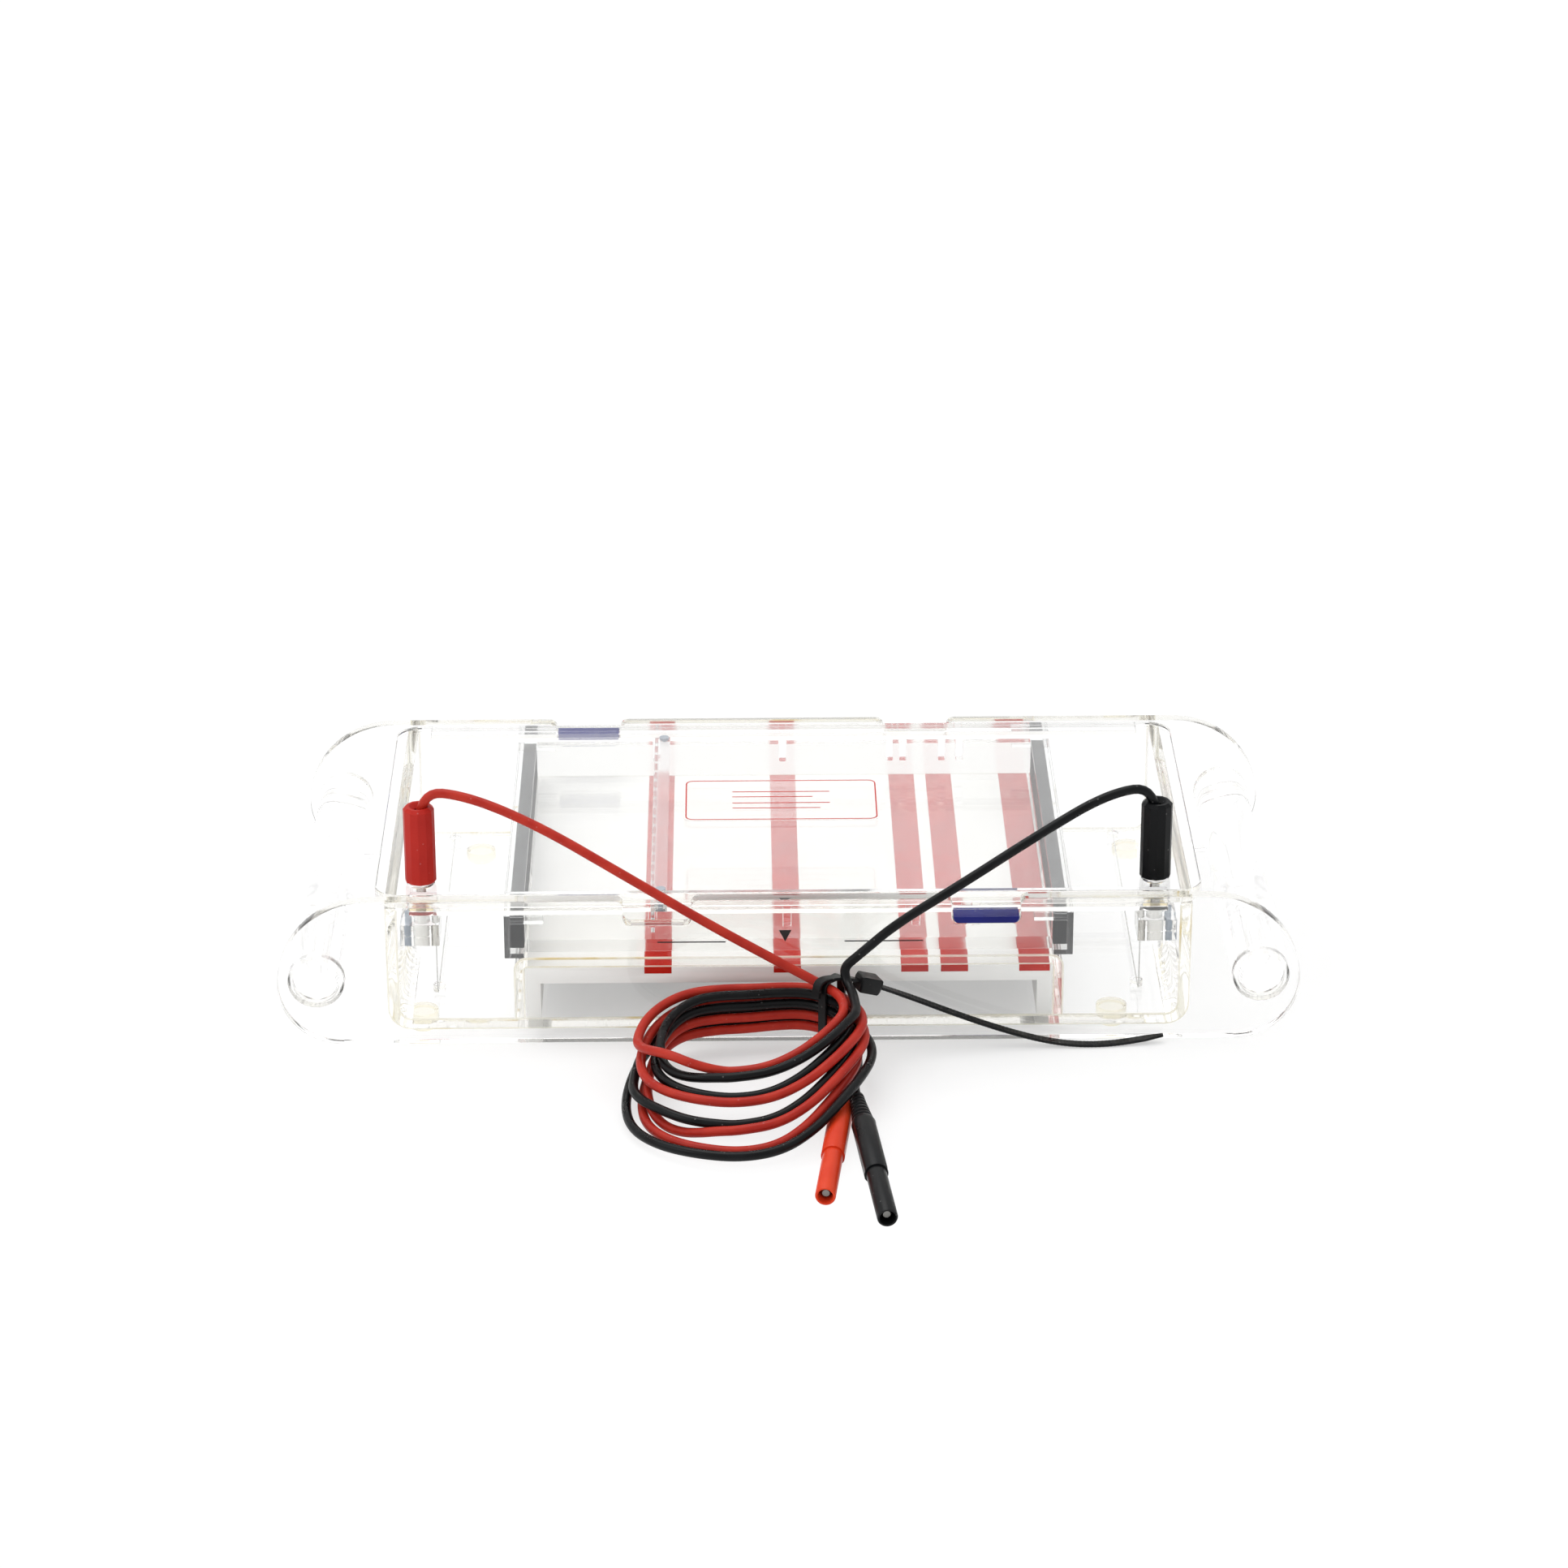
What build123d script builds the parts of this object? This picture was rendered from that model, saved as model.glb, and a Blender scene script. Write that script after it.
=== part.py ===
"""Horizontal electrophoresis chamber with its lid, gel tray, comb, gates and two tied leads.

X runs along the tank from the red electrode to the black one, Y runs from the front plate
to the back plate, and Z is up. The origin is on the table, under the middle of the tank.
All sizes are in millimetres.
"""

import os
from itertools import pairwise
from math import atan2, cos, dist, radians, tan

from build123d import *

# Tank: two end plates joined by a bent trough and two handle tubes
tank_depth = 180.0
plate_width = 406.0
plate_thickness = 6.0
plate_lift = 0.6
plate_top = 62.9
lower_corner = 25.4
tube_inset = 15.5
tube_height = 28.4
tube_diameter = 22.5
tube_wall = 2.0
trough_inset = 43.3
trough_sheet = 4.5
trough_bend = 5.0
foot_height = 5.0
foot_diameter = 12.3
foot_recess = 1.2
foot_setback = 13.0
foot_insets = (13.1, 30.1)

# Finger notches in the top edges of the plates; two of them hold the lid's tabs
notch_width = 27.0
notch_depth = 10.9
notch_floor_round = 3.0
notch_mouth_round = 3.0
front_grip_place = -52.0
back_grip_place = 56.0
front_tab_to_gate = 27.1
back_tab_to_gate = 22.1

# Gel platform and the white underlay with its red strips
platform_overhang = 4.1
platform_sheet = 4.0
platform_top = 36.0
platform_bend = 1.0
underlay_web = 7.0
underlay_leg = 6.0
underlay_play = 0.2
strip_depth = 2.9
strip_width = 10.8
edge_strip_width = 12.2
strip_places = (-52.0, -0.6, 50.0, 65.8)

# Gel tray, its two gates and the comb
tray_length = 209.6
tray_side_gap = 6.0
tray_floor = 4.0
tray_wall = 4.0
tray_height = 18.6
comb_slot_width = 3.0
comb_slot_depth = 8.0
comb_slot_places = (-54.0, -0.6, 44.8, 50.5, 67.0, 74.5)
gate_height = 18.4
gate_plate = 2.2
gate_web = 2.0
gate_play = 0.6
gate_arm_length = 8.0
gate_arm_height = 3.5
gate_arm_play = 0.3
gasket_width = 5.4
seal_gap = 0.3
comb_thickness = 1.5
comb_end_play = 0.6
comb_lift = 1.5
comb_ear_height = 0.3
comb_blade_rise = 2.4
comb_tooth_width = 6.4
comb_tooth_gap = 2.6
comb_tooth_length = 11.0
comb_bar_width = 5.0
comb_bar_height = 2.4
comb_bar_gap = 0.1
comb_screw_head = 4.0
comb_screw_shank = 2.0
comb_screw_head_height = 1.0
comb_screw_inset = 2.1

# Lid with its locating strips and finger tabs
lid_overhang = 4.3
lid_thickness = 4.5
lid_play = 0.6
lid_corner = 10.0
lid_strip_inset = 9.7
lid_strip_width = 6.5
lid_strip_height = 3.5
tab_side_play = 0.45
tab_depth = 10.0
tab_floor_play = 0.1
label_length = 80.0
label_width = 40.0
label_thickness = 0.15
label_middle = (-2.0, 5.0)
label_round = 3.0

# Fill mark, printed on the front plate
mark_height = 44.8
mark_line = 0.5
mark_ink = 0.1
mark_spans = ((-52.0, -25.0), (22.0, 53.0))
mark_triangle = 5.0
mark_middle = -1.5

# Lid plugs and the sockets that they reach
plug_wall_gap = 9.2
plug_inset = 15.4
plug_diameter = 12.4
plug_height = 32.1
plug_dish = 2.0
plug_chamfer = 1.2
plug_neck_diameter = 10.3
lid_hole_play = 0.05
pin_diameter = 4.0
pin_tip = 43.0
pin_grip = 12.0
cord_bore_depth = 15.0
cord_bore_play = 0.1
block_width = 15.5
block_bottom = 42.0
block_height = 9.0
socket_diameter = 6.5
socket_bottom = 40.0
socket_flange_diameter = 9.7
socket_flange_height = 0.8
socket_bore_play = 0.08
side_pin_offset = 5.4
retaining_pin_diameter = 2.8
retaining_pin_span = (38.0, 48.0)
terminal_screw_diameter = 3.0
terminal_screw_span = (39.6, 48.0)
wire_diameter = 0.5
wire_bend = 3.0
post_diameter = 5.0
post_height = 3.0
post_setbacks = (26.0, 10.0)

# Leads, tie and safety plugs
lead_diameter = 3.8
lead_sink = 11.0
tie_band = 1.3
tie_width = 4.0
tie_slack = 0.4
tie_head = (9.5, 6.0, 7.5)
tie_tail_thickness = 1.2
plug_length = 84.0
sleeve_diameter = 7.9
sleeve_length = 30.0
sleeve_wall = 1.1
sleeve_bore_depth = 22.0
grip_diameter = 9.8
grip_length = 36.0
relief_diameter = 5.6
relief_ribs = 6
relief_rib_depth = 0.5

# Places that follow from the sizes above
tube_spacing = plate_width - 2 * tube_inset
trough_width = plate_width - 2 * trough_inset
plug_spacing = trough_width - 2 * (trough_sheet + plug_wall_gap)
lid_length = trough_width + 2 * lid_overhang
lid_strip_length = trough_width - 2 * lid_strip_inset
plate_face = tank_depth / 2
inner_face = plate_face - plate_thickness
widest_height = plate_lift + lower_corner
upper_corner = plate_top - widest_height
floor_top = foot_height + trough_sheet
wall_top = plate_top - lid_thickness
platform_underside = platform_top - platform_sheet
platform_width = tray_length + 2 * platform_overhang
underlay_width = platform_width - 2 * (platform_sheet + underlay_play)
edge_strip_place = (underlay_width - edge_strip_width) / 2 - platform_bend
tray_half_depth = inner_face - tray_side_gap
tray_top = platform_top + tray_height
gate_half_depth = inner_face - gate_play
gate_top = platform_top + gate_height
gate_inner = tray_length / 2 + seal_gap
front_tab_place = gate_inner - front_tab_to_gate
back_tab_place = back_tab_to_gate - gate_inner
post_places = (post_setbacks[0] - inner_face, inner_face - post_setbacks[1])
strip_underside = wall_top - lid_strip_height
lid_half_depth = inner_face - lid_play
notch_floor = plate_top - notch_depth
tab_width = notch_width - 2 * tab_side_play
tab_height = strip_underside - notch_floor - tab_floor_play
tab_round = min(notch_floor_round, tab_height) - 0.5
plug_y = plug_inset - inner_face
plug_top = plate_top + plug_height
slot_floor = tray_top - comb_slot_depth

SIDES = (("left", -1), ("right", 1))
LEADS = (("red", -1), ("black", 1))


def write(label, piece):
    """Label one finished piece and write it to its own file."""
    piece.part.label = label
    export_step(piece.part, f"parts/{label}.step")


def section(y):
    """The plane across the tank at y, with local x along X and local y up."""
    return Plane.XZ.offset(-y)


def bent_sheet(corners, thickness, inner_bend, half_length):
    """A sheet bent along its middle line, running from front to back."""
    with BuildPart() as sheet:
        with BuildSketch(Plane.XZ):
            with BuildLine():
                FilletPolyline(*corners, radius=inner_bend + thickness / 2)
            trace(line_width=thickness)
        extrude(amount=half_length, both=True)
    return sheet


def turned(place, outline):
    """A turned piece about the Z axis of a plane; the outline holds (radius, height) pairs."""
    radial = Plane(origin=place.origin, x_dir=place.x_dir, z_dir=place.x_dir.cross(place.z_dir))
    with BuildPart() as piece:
        with BuildSketch(radial):
            with BuildLine():
                Polyline(*outline, close=True)
            make_face()
        revolve(axis=Axis(place.origin, place.z_dir))
    return piece


def end_plate(front_y, notches):
    """One end plate: a rounded outline with tube holes and finger notches."""
    half_width = plate_width / 2
    upper_x = half_width - upper_corner
    lower_x = half_width - lower_corner
    with BuildPart() as plate:
        with BuildSketch(section(front_y)):
            with BuildLine():
                Line((0, plate_lift), (lower_x, plate_lift))
                CenterArc((lower_x, widest_height), lower_corner, -90, 90)
                CenterArc((upper_x, widest_height), upper_corner, 0, 90)
                Line((upper_x, plate_top), (0, plate_top))
                mirror(about=Plane.YZ)
            make_face()
            with Locations(*[(sign * tube_spacing / 2, tube_height) for _, sign in SIDES]):
                Circle(tube_diameter / 2, mode=Mode.SUBTRACT)
        extrude(amount=-plate_thickness)
        edge = notch_width / 2
        lip = edge + 2 * notch_mouth_round
        for middle in notches:
            with BuildSketch(section(front_y)):
                with BuildLine():
                    FilletPolyline(
                        (middle - lip, plate_top), (middle - edge, plate_top),
                        (middle - edge, notch_floor), (middle + edge, notch_floor),
                        (middle + edge, plate_top), (middle + lip, plate_top),
                        radius=[notch_mouth_round, notch_floor_round,
                                notch_floor_round, notch_mouth_round])
                    Polyline((middle + lip, plate_top), (middle + lip, plate_top + notch_depth),
                             (middle - lip, plate_top + notch_depth), (middle - lip, plate_top))
                make_face()
            extrude(amount=-plate_thickness, mode=Mode.SUBTRACT)
    return plate


def handle_tube(x):
    """A carrying tube through both plates, flush with their faces."""
    with BuildPart() as tube:
        with BuildSketch(section(0)):
            with Locations((x, tube_height)):
                Circle(tube_diameter / 2)
                Circle(tube_diameter / 2 - tube_wall, mode=Mode.SUBTRACT)
        extrude(amount=plate_face, both=True)
    return tube


def feet():
    """Four feet let into the underside of the trough floor."""
    y = inner_face - foot_setback
    left = foot_insets[0] - trough_width / 2
    right = trough_width / 2 - foot_insets[1]
    with BuildPart() as pads:
        with BuildSketch():
            with Locations((left, -y), (right, -y), (-left, y), (-right, y)):
                Circle(foot_diameter / 2)
        extrude(amount=foot_height)
        chamfer(pads.edges().group_by(Axis.Z)[0], foot_recess)
    return pads


def strip_spans():
    """Middle and width of every red strip."""
    return [(place, strip_width) for place in strip_places] + [(edge_strip_place, edge_strip_width)]


def underlay():
    """White inverted U under the platform, with grooves for the red strips."""
    half = underlay_width / 2
    inner = half - underlay_leg
    web_bottom = platform_underside - underlay_web
    with BuildPart() as liner:
        with BuildSketch(Plane.XZ):
            with BuildLine():
                FilletPolyline(
                    (-half, floor_top), (-half, platform_underside),
                    (half, platform_underside), (half, floor_top),
                    radius=platform_bend)
                Polyline((half, floor_top), (inner, floor_top), (inner, web_bottom),
                         (-inner, web_bottom), (-inner, floor_top), (-half, floor_top))
            make_face()
            for place, width in strip_spans():
                with Locations((place, platform_underside)):
                    Rectangle(width, 2 * strip_depth, mode=Mode.SUBTRACT)
        extrude(amount=inner_face, both=True)
    return liner


def red_strips():
    """Red strips that fill the grooves of the underlay."""
    with BuildPart() as strips:
        with BuildSketch(Plane.XZ):
            for place, width in strip_spans():
                with Locations((place, platform_underside - strip_depth / 2)):
                    Rectangle(width, strip_depth)
        extrude(amount=inner_face, both=True)
    return strips


def block_nose(sign, z):
    """The plan of a socket block: a tongue from the front plate with a round nose."""
    x = sign * plug_spacing / 2
    with BuildSketch(Plane.XY.offset(z)) as plan:
        with Locations((x, (plug_y - inner_face) / 2)):
            Rectangle(block_width, plug_inset)
        with Locations((x, plug_y)):
            Circle(block_width / 2)
    return plan


def socket_block(sign):
    """Clear block that holds one socket, its retaining pin and its terminal screw."""
    x = sign * plug_spacing / 2
    outboard = x + sign * side_pin_offset
    inboard = x - sign * side_pin_offset
    with BuildPart() as block:
        add(block_nose(sign, block_bottom).sketch)
        extrude(amount=block_height)
        for place, diameter, top in (
                (outboard, retaining_pin_diameter, retaining_pin_span[1]),
                (inboard, terminal_screw_diameter, terminal_screw_span[1])):
            with BuildSketch(Plane.XY.offset(block_bottom)):
                with Locations((place, plug_y)):
                    Circle(diameter / 2)
            extrude(amount=top - block_bottom, mode=Mode.SUBTRACT)
        with BuildSketch(Plane.XY.offset(block_bottom)):
            with Locations((x, plug_y)):
                Circle(socket_diameter / 2)
        extrude(amount=block_height, mode=Mode.SUBTRACT)
    return block


def socket(sign):
    """Brass socket with a flange on the block and a blind bore for the pin."""
    block_top = block_bottom + block_height
    top = block_top + socket_flange_height
    radius = socket_diameter / 2
    bore = pin_diameter / 2 + socket_bore_play
    bore_floor = pin_tip - 1.5
    outline = [(0, socket_bottom), (radius, socket_bottom), (radius, block_top),
               (socket_flange_diameter / 2, block_top), (socket_flange_diameter / 2, top),
               (bore, top), (bore, bore_floor), (0, bore_floor)]
    return turned(Plane(origin=(sign * plug_spacing / 2, plug_y, 0)), outline)


def upright_pins(offset, diameter, span):
    """One upright pin in each socket block, offset outboard from the socket."""
    with BuildPart() as pins:
        with BuildSketch(Plane.XY.offset(span[0])):
            for _, sign in SIDES:
                with Locations((sign * (plug_spacing / 2 + offset), plug_y)):
                    Circle(diameter / 2)
        extrude(amount=span[1] - span[0])
    return pins


def electrode_wire(sign):
    """Platinum wire from the terminal screw down to the floor and along the reservoir."""
    x = sign * (plug_spacing / 2 - side_pin_offset)
    low = floor_top + post_height + wire_diameter / 2
    with BuildPart() as wire:
        with BuildLine():
            line = FilletPolyline((x, plug_y, terminal_screw_span[0]), (x, plug_y, low),
                                  (x, post_places[1] + post_diameter / 2, low), radius=wire_bend)
        with BuildSketch(Plane(origin=line @ 0, z_dir=line % 0)):
            Circle(wire_diameter / 2)
        sweep()
    return wire


def wire_posts():
    """Pegs on the floor that the wires lie on."""
    with BuildPart() as posts:
        with BuildSketch(Plane.XY.offset(floor_top)):
            for _, sign in SIDES:
                x = sign * (plug_spacing / 2 - side_pin_offset)
                with Locations(*[(x, y) for y in post_places]):
                    Circle(post_diameter / 2)
        extrude(amount=post_height)
    return posts


def fill_mark():
    """Two printed lines with a triangle between them."""
    with BuildPart() as mark:
        with BuildSketch(section(-plate_face)):
            for low, high in mark_spans:
                with Locations(((low + high) / 2, mark_height)):
                    Rectangle(high - low, mark_line)
            with BuildLine():
                Polyline((mark_middle - mark_triangle / 2, mark_height + mark_triangle),
                         (mark_middle + mark_triangle / 2, mark_height + mark_triangle),
                         (mark_middle, mark_height), close=True)
            make_face()
        extrude(amount=mark_ink)
    return mark


def gel_tray():
    """Tray with an open end at each gate and comb slots in its two walls."""
    with BuildPart() as tray:
        with BuildSketch(Plane.XY.offset(platform_top)):
            Rectangle(tray_length, 2 * tray_half_depth)
        extrude(amount=tray_height)
        with BuildSketch(Plane.XY.offset(platform_top + tray_floor)):
            Rectangle(tray_length, 2 * (tray_half_depth - tray_wall))
        extrude(amount=tray_height - tray_floor, mode=Mode.SUBTRACT)
        with BuildSketch(Plane.XY.offset(slot_floor)):
            with Locations(*[(x, 0) for x in comb_slot_places]):
                Rectangle(comb_slot_width, 2 * tray_half_depth)
        extrude(amount=comb_slot_depth, mode=Mode.SUBTRACT)
    return tray


def gate(sign):
    """Casting gate: an upright channel that holds the gasket, with two arms along the tray."""
    back = gate_inner + gasket_width
    with BuildPart() as frame:
        with BuildSketch(Plane.XZ):
            with BuildLine():
                Polyline((sign * gate_inner, platform_top), (sign * (back + gate_plate), platform_top),
                         (sign * (back + gate_plate), gate_top), (sign * gate_inner, gate_top),
                         (sign * gate_inner, gate_top - gate_web), (sign * back, gate_top - gate_web),
                         (sign * back, platform_top + gate_web),
                         (sign * gate_inner, platform_top + gate_web), close=True)
            make_face()
        extrude(amount=gate_half_depth, both=True)
        arm_inner = tray_half_depth + gate_arm_play
        for end in (-1, 1):
            with BuildSketch(Plane.XY.offset(gate_top - gate_arm_height)):
                with Locations((sign * (back - (gate_arm_length + gasket_width) / 2),
                                end * (arm_inner + gate_half_depth) / 2)):
                    Rectangle(gate_arm_length + gasket_width, gate_half_depth - arm_inner)
            extrude(amount=gate_arm_height)
    return frame


def gate_gasket(sign):
    """Rubber gasket in the gate's channel, stopping short of the arms."""
    height = gate_height - 2 * gate_web
    with BuildPart() as gasket:
        with BuildSketch(Plane.XY.offset(platform_top + gate_web)):
            with Locations((sign * (gate_inner + gasket_width / 2), 0)):
                Rectangle(gasket_width, 2 * (tray_half_depth + gate_arm_play))
        extrude(amount=height)
    return gasket


comb_place = comb_slot_places[0]
comb_half = lid_half_depth - lid_strip_width - comb_end_play
comb_top = tray_top + comb_blade_rise


def comb_blade():
    """Thin comb with ears in the tray's slots and teeth over its floor."""
    ear_bottom = slot_floor + comb_ear_height
    body_bottom = platform_top + tray_floor + comb_lift + comb_tooth_length
    pitch = comb_tooth_width + comb_tooth_gap
    tooth_count = int(2 * (tray_half_depth - tray_wall) / pitch)
    with BuildPart() as blade:
        with BuildSketch(Plane.YZ.offset(comb_place - comb_thickness / 2)):
            with Locations((0, (body_bottom + comb_top) / 2)):
                Rectangle(2 * (tray_half_depth - tray_wall) - 1, comb_top - body_bottom)
            with Locations((0, (ear_bottom + comb_top) / 2)):
                Rectangle(2 * comb_half, comb_top - ear_bottom)
            with BuildSketch(mode=Mode.SUBTRACT):
                with Locations((0, ear_bottom)):
                    Rectangle(2 * (tray_half_depth - tray_wall) - 1, 2 * (body_bottom - ear_bottom))
            with Locations((0, body_bottom - comb_tooth_length / 2)):
                with GridLocations(pitch, 1, tooth_count, 1):
                    Rectangle(comb_tooth_width, comb_tooth_length)
        extrude(amount=comb_thickness)
    return blade


def screw_places():
    """Plan places of the comb's two height screws."""
    x = comb_place + (comb_thickness + comb_bar_width) / 2
    return [(x, end * (comb_half - comb_screw_inset)) for end in (-1, 1)]


def comb_bar():
    """Stiffening bar beside the blade, drilled for the height screws."""
    bottom = tray_top + comb_bar_gap
    with BuildPart() as bar:
        with BuildSketch(Plane.XY.offset(bottom)):
            with Locations((comb_place + (comb_thickness + comb_bar_width) / 2, 0)):
                Rectangle(comb_bar_width, 2 * comb_half)
            with Locations(*screw_places()):
                Circle(comb_screw_shank / 2, mode=Mode.SUBTRACT)
        extrude(amount=comb_bar_height)
    return bar


def comb_screws():
    """Height screws: a flat head on the bar and a shank down to the tray wall."""
    bar_bottom = tray_top + comb_bar_gap
    head_bottom = bar_bottom + comb_bar_height
    with BuildPart() as screws:
        with BuildSketch(Plane.XY.offset(bar_bottom)):
            with Locations(*screw_places()):
                Circle(comb_screw_shank / 2)
        extrude(amount=comb_bar_height)
        with BuildSketch(Plane.XY.offset(head_bottom)):
            with Locations(*screw_places()):
                Circle(comb_screw_head / 2)
        extrude(amount=comb_screw_head_height)
    return screws


def lid_plate():
    """Flat lid on the trough walls, level with the plates, with a hole for each plug."""
    with BuildPart() as plate:
        with BuildSketch(Plane.XY.offset(wall_top)):
            RectangleRounded(lid_length, 2 * lid_half_depth, lid_corner)
            with Locations(*[(sign * plug_spacing / 2, plug_y) for _, sign in SIDES]):
                Circle(plug_neck_diameter / 2 + lid_hole_play, mode=Mode.SUBTRACT)
        extrude(amount=lid_thickness)
    return plate


def lid_strip(end):
    """Locating strip along one long edge, under the lid."""
    with BuildPart() as strip:
        with BuildSketch(Plane.XY.offset(strip_underside)):
            with Locations((0, end * (lid_half_depth - lid_strip_width / 2))):
                Rectangle(lid_strip_length, lid_strip_width)
        extrude(amount=lid_strip_height)
    return strip


def lift_tab(end, middle):
    """Finger tab in a notch, bonded under the locating strip."""
    with BuildPart() as tab:
        with BuildSketch(section(-plate_face)):
            with Locations((middle, strip_underside - tab_height / 2)):
                Rectangle(tab_width, tab_height)
            corners = vertices().group_by(Axis.Y)[0]
            fillet(corners, tab_round)
        extrude(amount=-tab_depth)
        if end > 0:
            mirror(about=Plane.XZ, mode=Mode.REPLACE)
    return tab


def label_panel():
    """Printed film on top of the lid."""
    with BuildPart() as film:
        with BuildSketch(Plane.XY.offset(plate_top)):
            with Locations(label_middle):
                RectangleRounded(label_length, label_width, label_round)
        extrude(amount=label_thickness)
    return film


def plug_handle(sign):
    """Twelve-sided handle over the lid, with a neck through the lid and a bore for the lead."""
    x = sign * plug_spacing / 2
    across = plug_diameter / 2
    bore = lead_diameter / 2 + cord_bore_play
    with BuildPart() as handle:
        with BuildSketch(Plane.XY.offset(plate_top)):
            with Locations((x, plug_y)):
                RegularPolygon(across, 12)
        extrude(amount=plug_height)
        chamfer(handle.edges().group_by(Axis.Z)[-1], plug_chamfer)
        with BuildSketch(Plane.XY.offset(wall_top)):
            with Locations((x, plug_y)):
                Circle(plug_neck_diameter / 2)
        extrude(amount=lid_thickness)
        with BuildSketch(Plane.XY.offset(plug_top)):
            with Locations((x, plug_y)):
                Circle(across - 2 * plug_chamfer)
        extrude(amount=-plug_dish, taper=45, mode=Mode.SUBTRACT)
        with BuildSketch(Plane.XY.offset(plug_top)):
            with Locations((x, plug_y)):
                Circle(bore)
        extrude(amount=-cord_bore_depth, mode=Mode.SUBTRACT)
        with BuildSketch(Plane.XY.offset(wall_top)):
            with Locations((x, plug_y)):
                Circle(pin_diameter / 2)
        extrude(amount=pin_grip, mode=Mode.SUBTRACT)
    return handle


def plug_pin(sign):
    """Metal pin from inside the handle down into the socket, with a rounded tip."""
    radius = pin_diameter / 2
    tip = radius / 2
    outline = [(0, pin_tip), (radius - tip, pin_tip), (radius, pin_tip + tip),
               (radius, wall_top + pin_grip), (0, wall_top + pin_grip)]
    return turned(Plane(origin=(sign * plug_spacing / 2, plug_y, 0)), outline)


def route_radii(points):
    """Bend radius at each corner of a route: nearly as large as its runs allow."""
    radii = []
    for before, corner, after in zip(points, points[1:], points[2:]):
        arrive = Vector(*corner) - Vector(*before)
        leave = Vector(*after) - Vector(*corner)
        half_turn = radians(arrive.get_angle(leave)) / 2
        radii.append(0.45 * min(arrive.length, leave.length) / tan(half_turn))
    return radii


def cord(points):
    """A round cord along straight runs joined by tangent arcs."""
    with BuildPart() as tube:
        with BuildLine():
            line = FilletPolyline(*points, radius=route_radii(points))
        with BuildSketch(Plane(origin=line @ 0, z_dir=line % 0)):
            Circle(lead_diameter / 2)
        sweep()
    return tube


# Route of each lead's free stretch, from inside its plug to the coil
crest_height = plug_top + 6.6
lead_routes = {
    "red": [(-plug_spacing / 2, plug_y, plug_top - lead_sink), (-plug_spacing / 2, plug_y, crest_height),
            (-126.0, -71.5, 100.4), (-98.0, -80.5, 91.3), (-66.0, -92.5, 76.2),
            (-31.5, -97.5, 56.0), (0.0, -98.5, 37.5)],
    "black": [(plug_spacing / 2, plug_y, plug_top - lead_sink), (plug_spacing / 2, plug_y, crest_height),
              (126.0, -71.5, 99.6), (98.0, -81.0, 86.0), (66.0, -93.0, 69.5),
              (42.0, -98.0, 56.0), (29.0, -100.0, 45.0)],
}

# Stations of the hank, in the order that a lead meets them in each turn: its share of the
# turn, the place in the first turn, the change per turn, the outer lead's step to the side
# and the direction of travel
stations = (
    (0.00, (15.0, -102.3, 30.5), (0.0, 0.0, -4.7), (3.6, 3.5, 0.0), (0.72, -0.69, -0.05)),
    (0.22, (19.0, -124.5, 29.6), (0.9, -8.2, -4.4), (5.2, -1.0, 1.5), (-0.45, -0.89, -0.08)),
    (0.45, (-23.0, -145.5, 21.0), (1.0, -13.3, -4.5), (0.0, -5.7, 0.6), (-1.0, 0.10, 0.0)),
    (0.56, (-42.0, -140.5, 20.6), (-1.2, -10.4, -4.5), (-4.0, -4.0, 0.3), (-0.74, 0.66, 0.04)),
    (0.67, (-49.0, -121.5, 24.4), (-2.5, -8.4, -5.4), (-5.8, 0.0, 0.0), (0.05, 0.98, 0.10)),
    (0.87, (-26.0, -101.0, 31.0), (-0.8, 0.0, -5.1), (0.0, 5.6, 0.0), (1.0, -0.10, 0.0)),
)
turn_count = 4

# The outer lead in each turn, and the turns where the leads change sides: there each lead
# also meets the crossing station, lifted by its own amount
outer_leads = ("black", "red", "red", "black", "black")
crossing_share = 0.56
crossing_lifts = {0: {"red": 6.2, "black": -1.1}, 2: {"red": -5.2, "black": 1.3}}
wider_steps = {(0, 0.45): 1.05, (0, 0.56): 1.2, (0, 0.67): 1.6, (0, 0.87): 1.05,
               (1, 0.22): 1.05, (1, 0.45): 0.9, (2, 0.22): 0.8, (2, 0.45): 0.95,
               (3, 0.22): 1.05, (3, 0.45): 0.95, (3, 0.67): 1.1}

# Where each lead's turns begin, and the places before the first turn and after the last
first_share = {"red": 0.0, "black": 0.2}
lead_in = {
    "red": [],
    "black": [((21.8, -101.0, 37.0), (-0.05, -0.25, -0.96)), ((25.0, -111.0, 31.0), (0.08, -0.98, -0.15))],
}
lead_out = {
    "red": [((20.6, -124.0, 8.0), (0.0, -1.0, -0.06))],
    "black": [((26.2, -134.0, 9.6), (-0.04, -1.0, 0.03))],
}
safety_plug_ends = {
    "red": ((21.5, -140.9, 6.8), (11.8, -224.0, 4.4)),
    "black": ((25.2, -157.8, 10.7), (34.6, -241.0, 4.4)),
}


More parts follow.
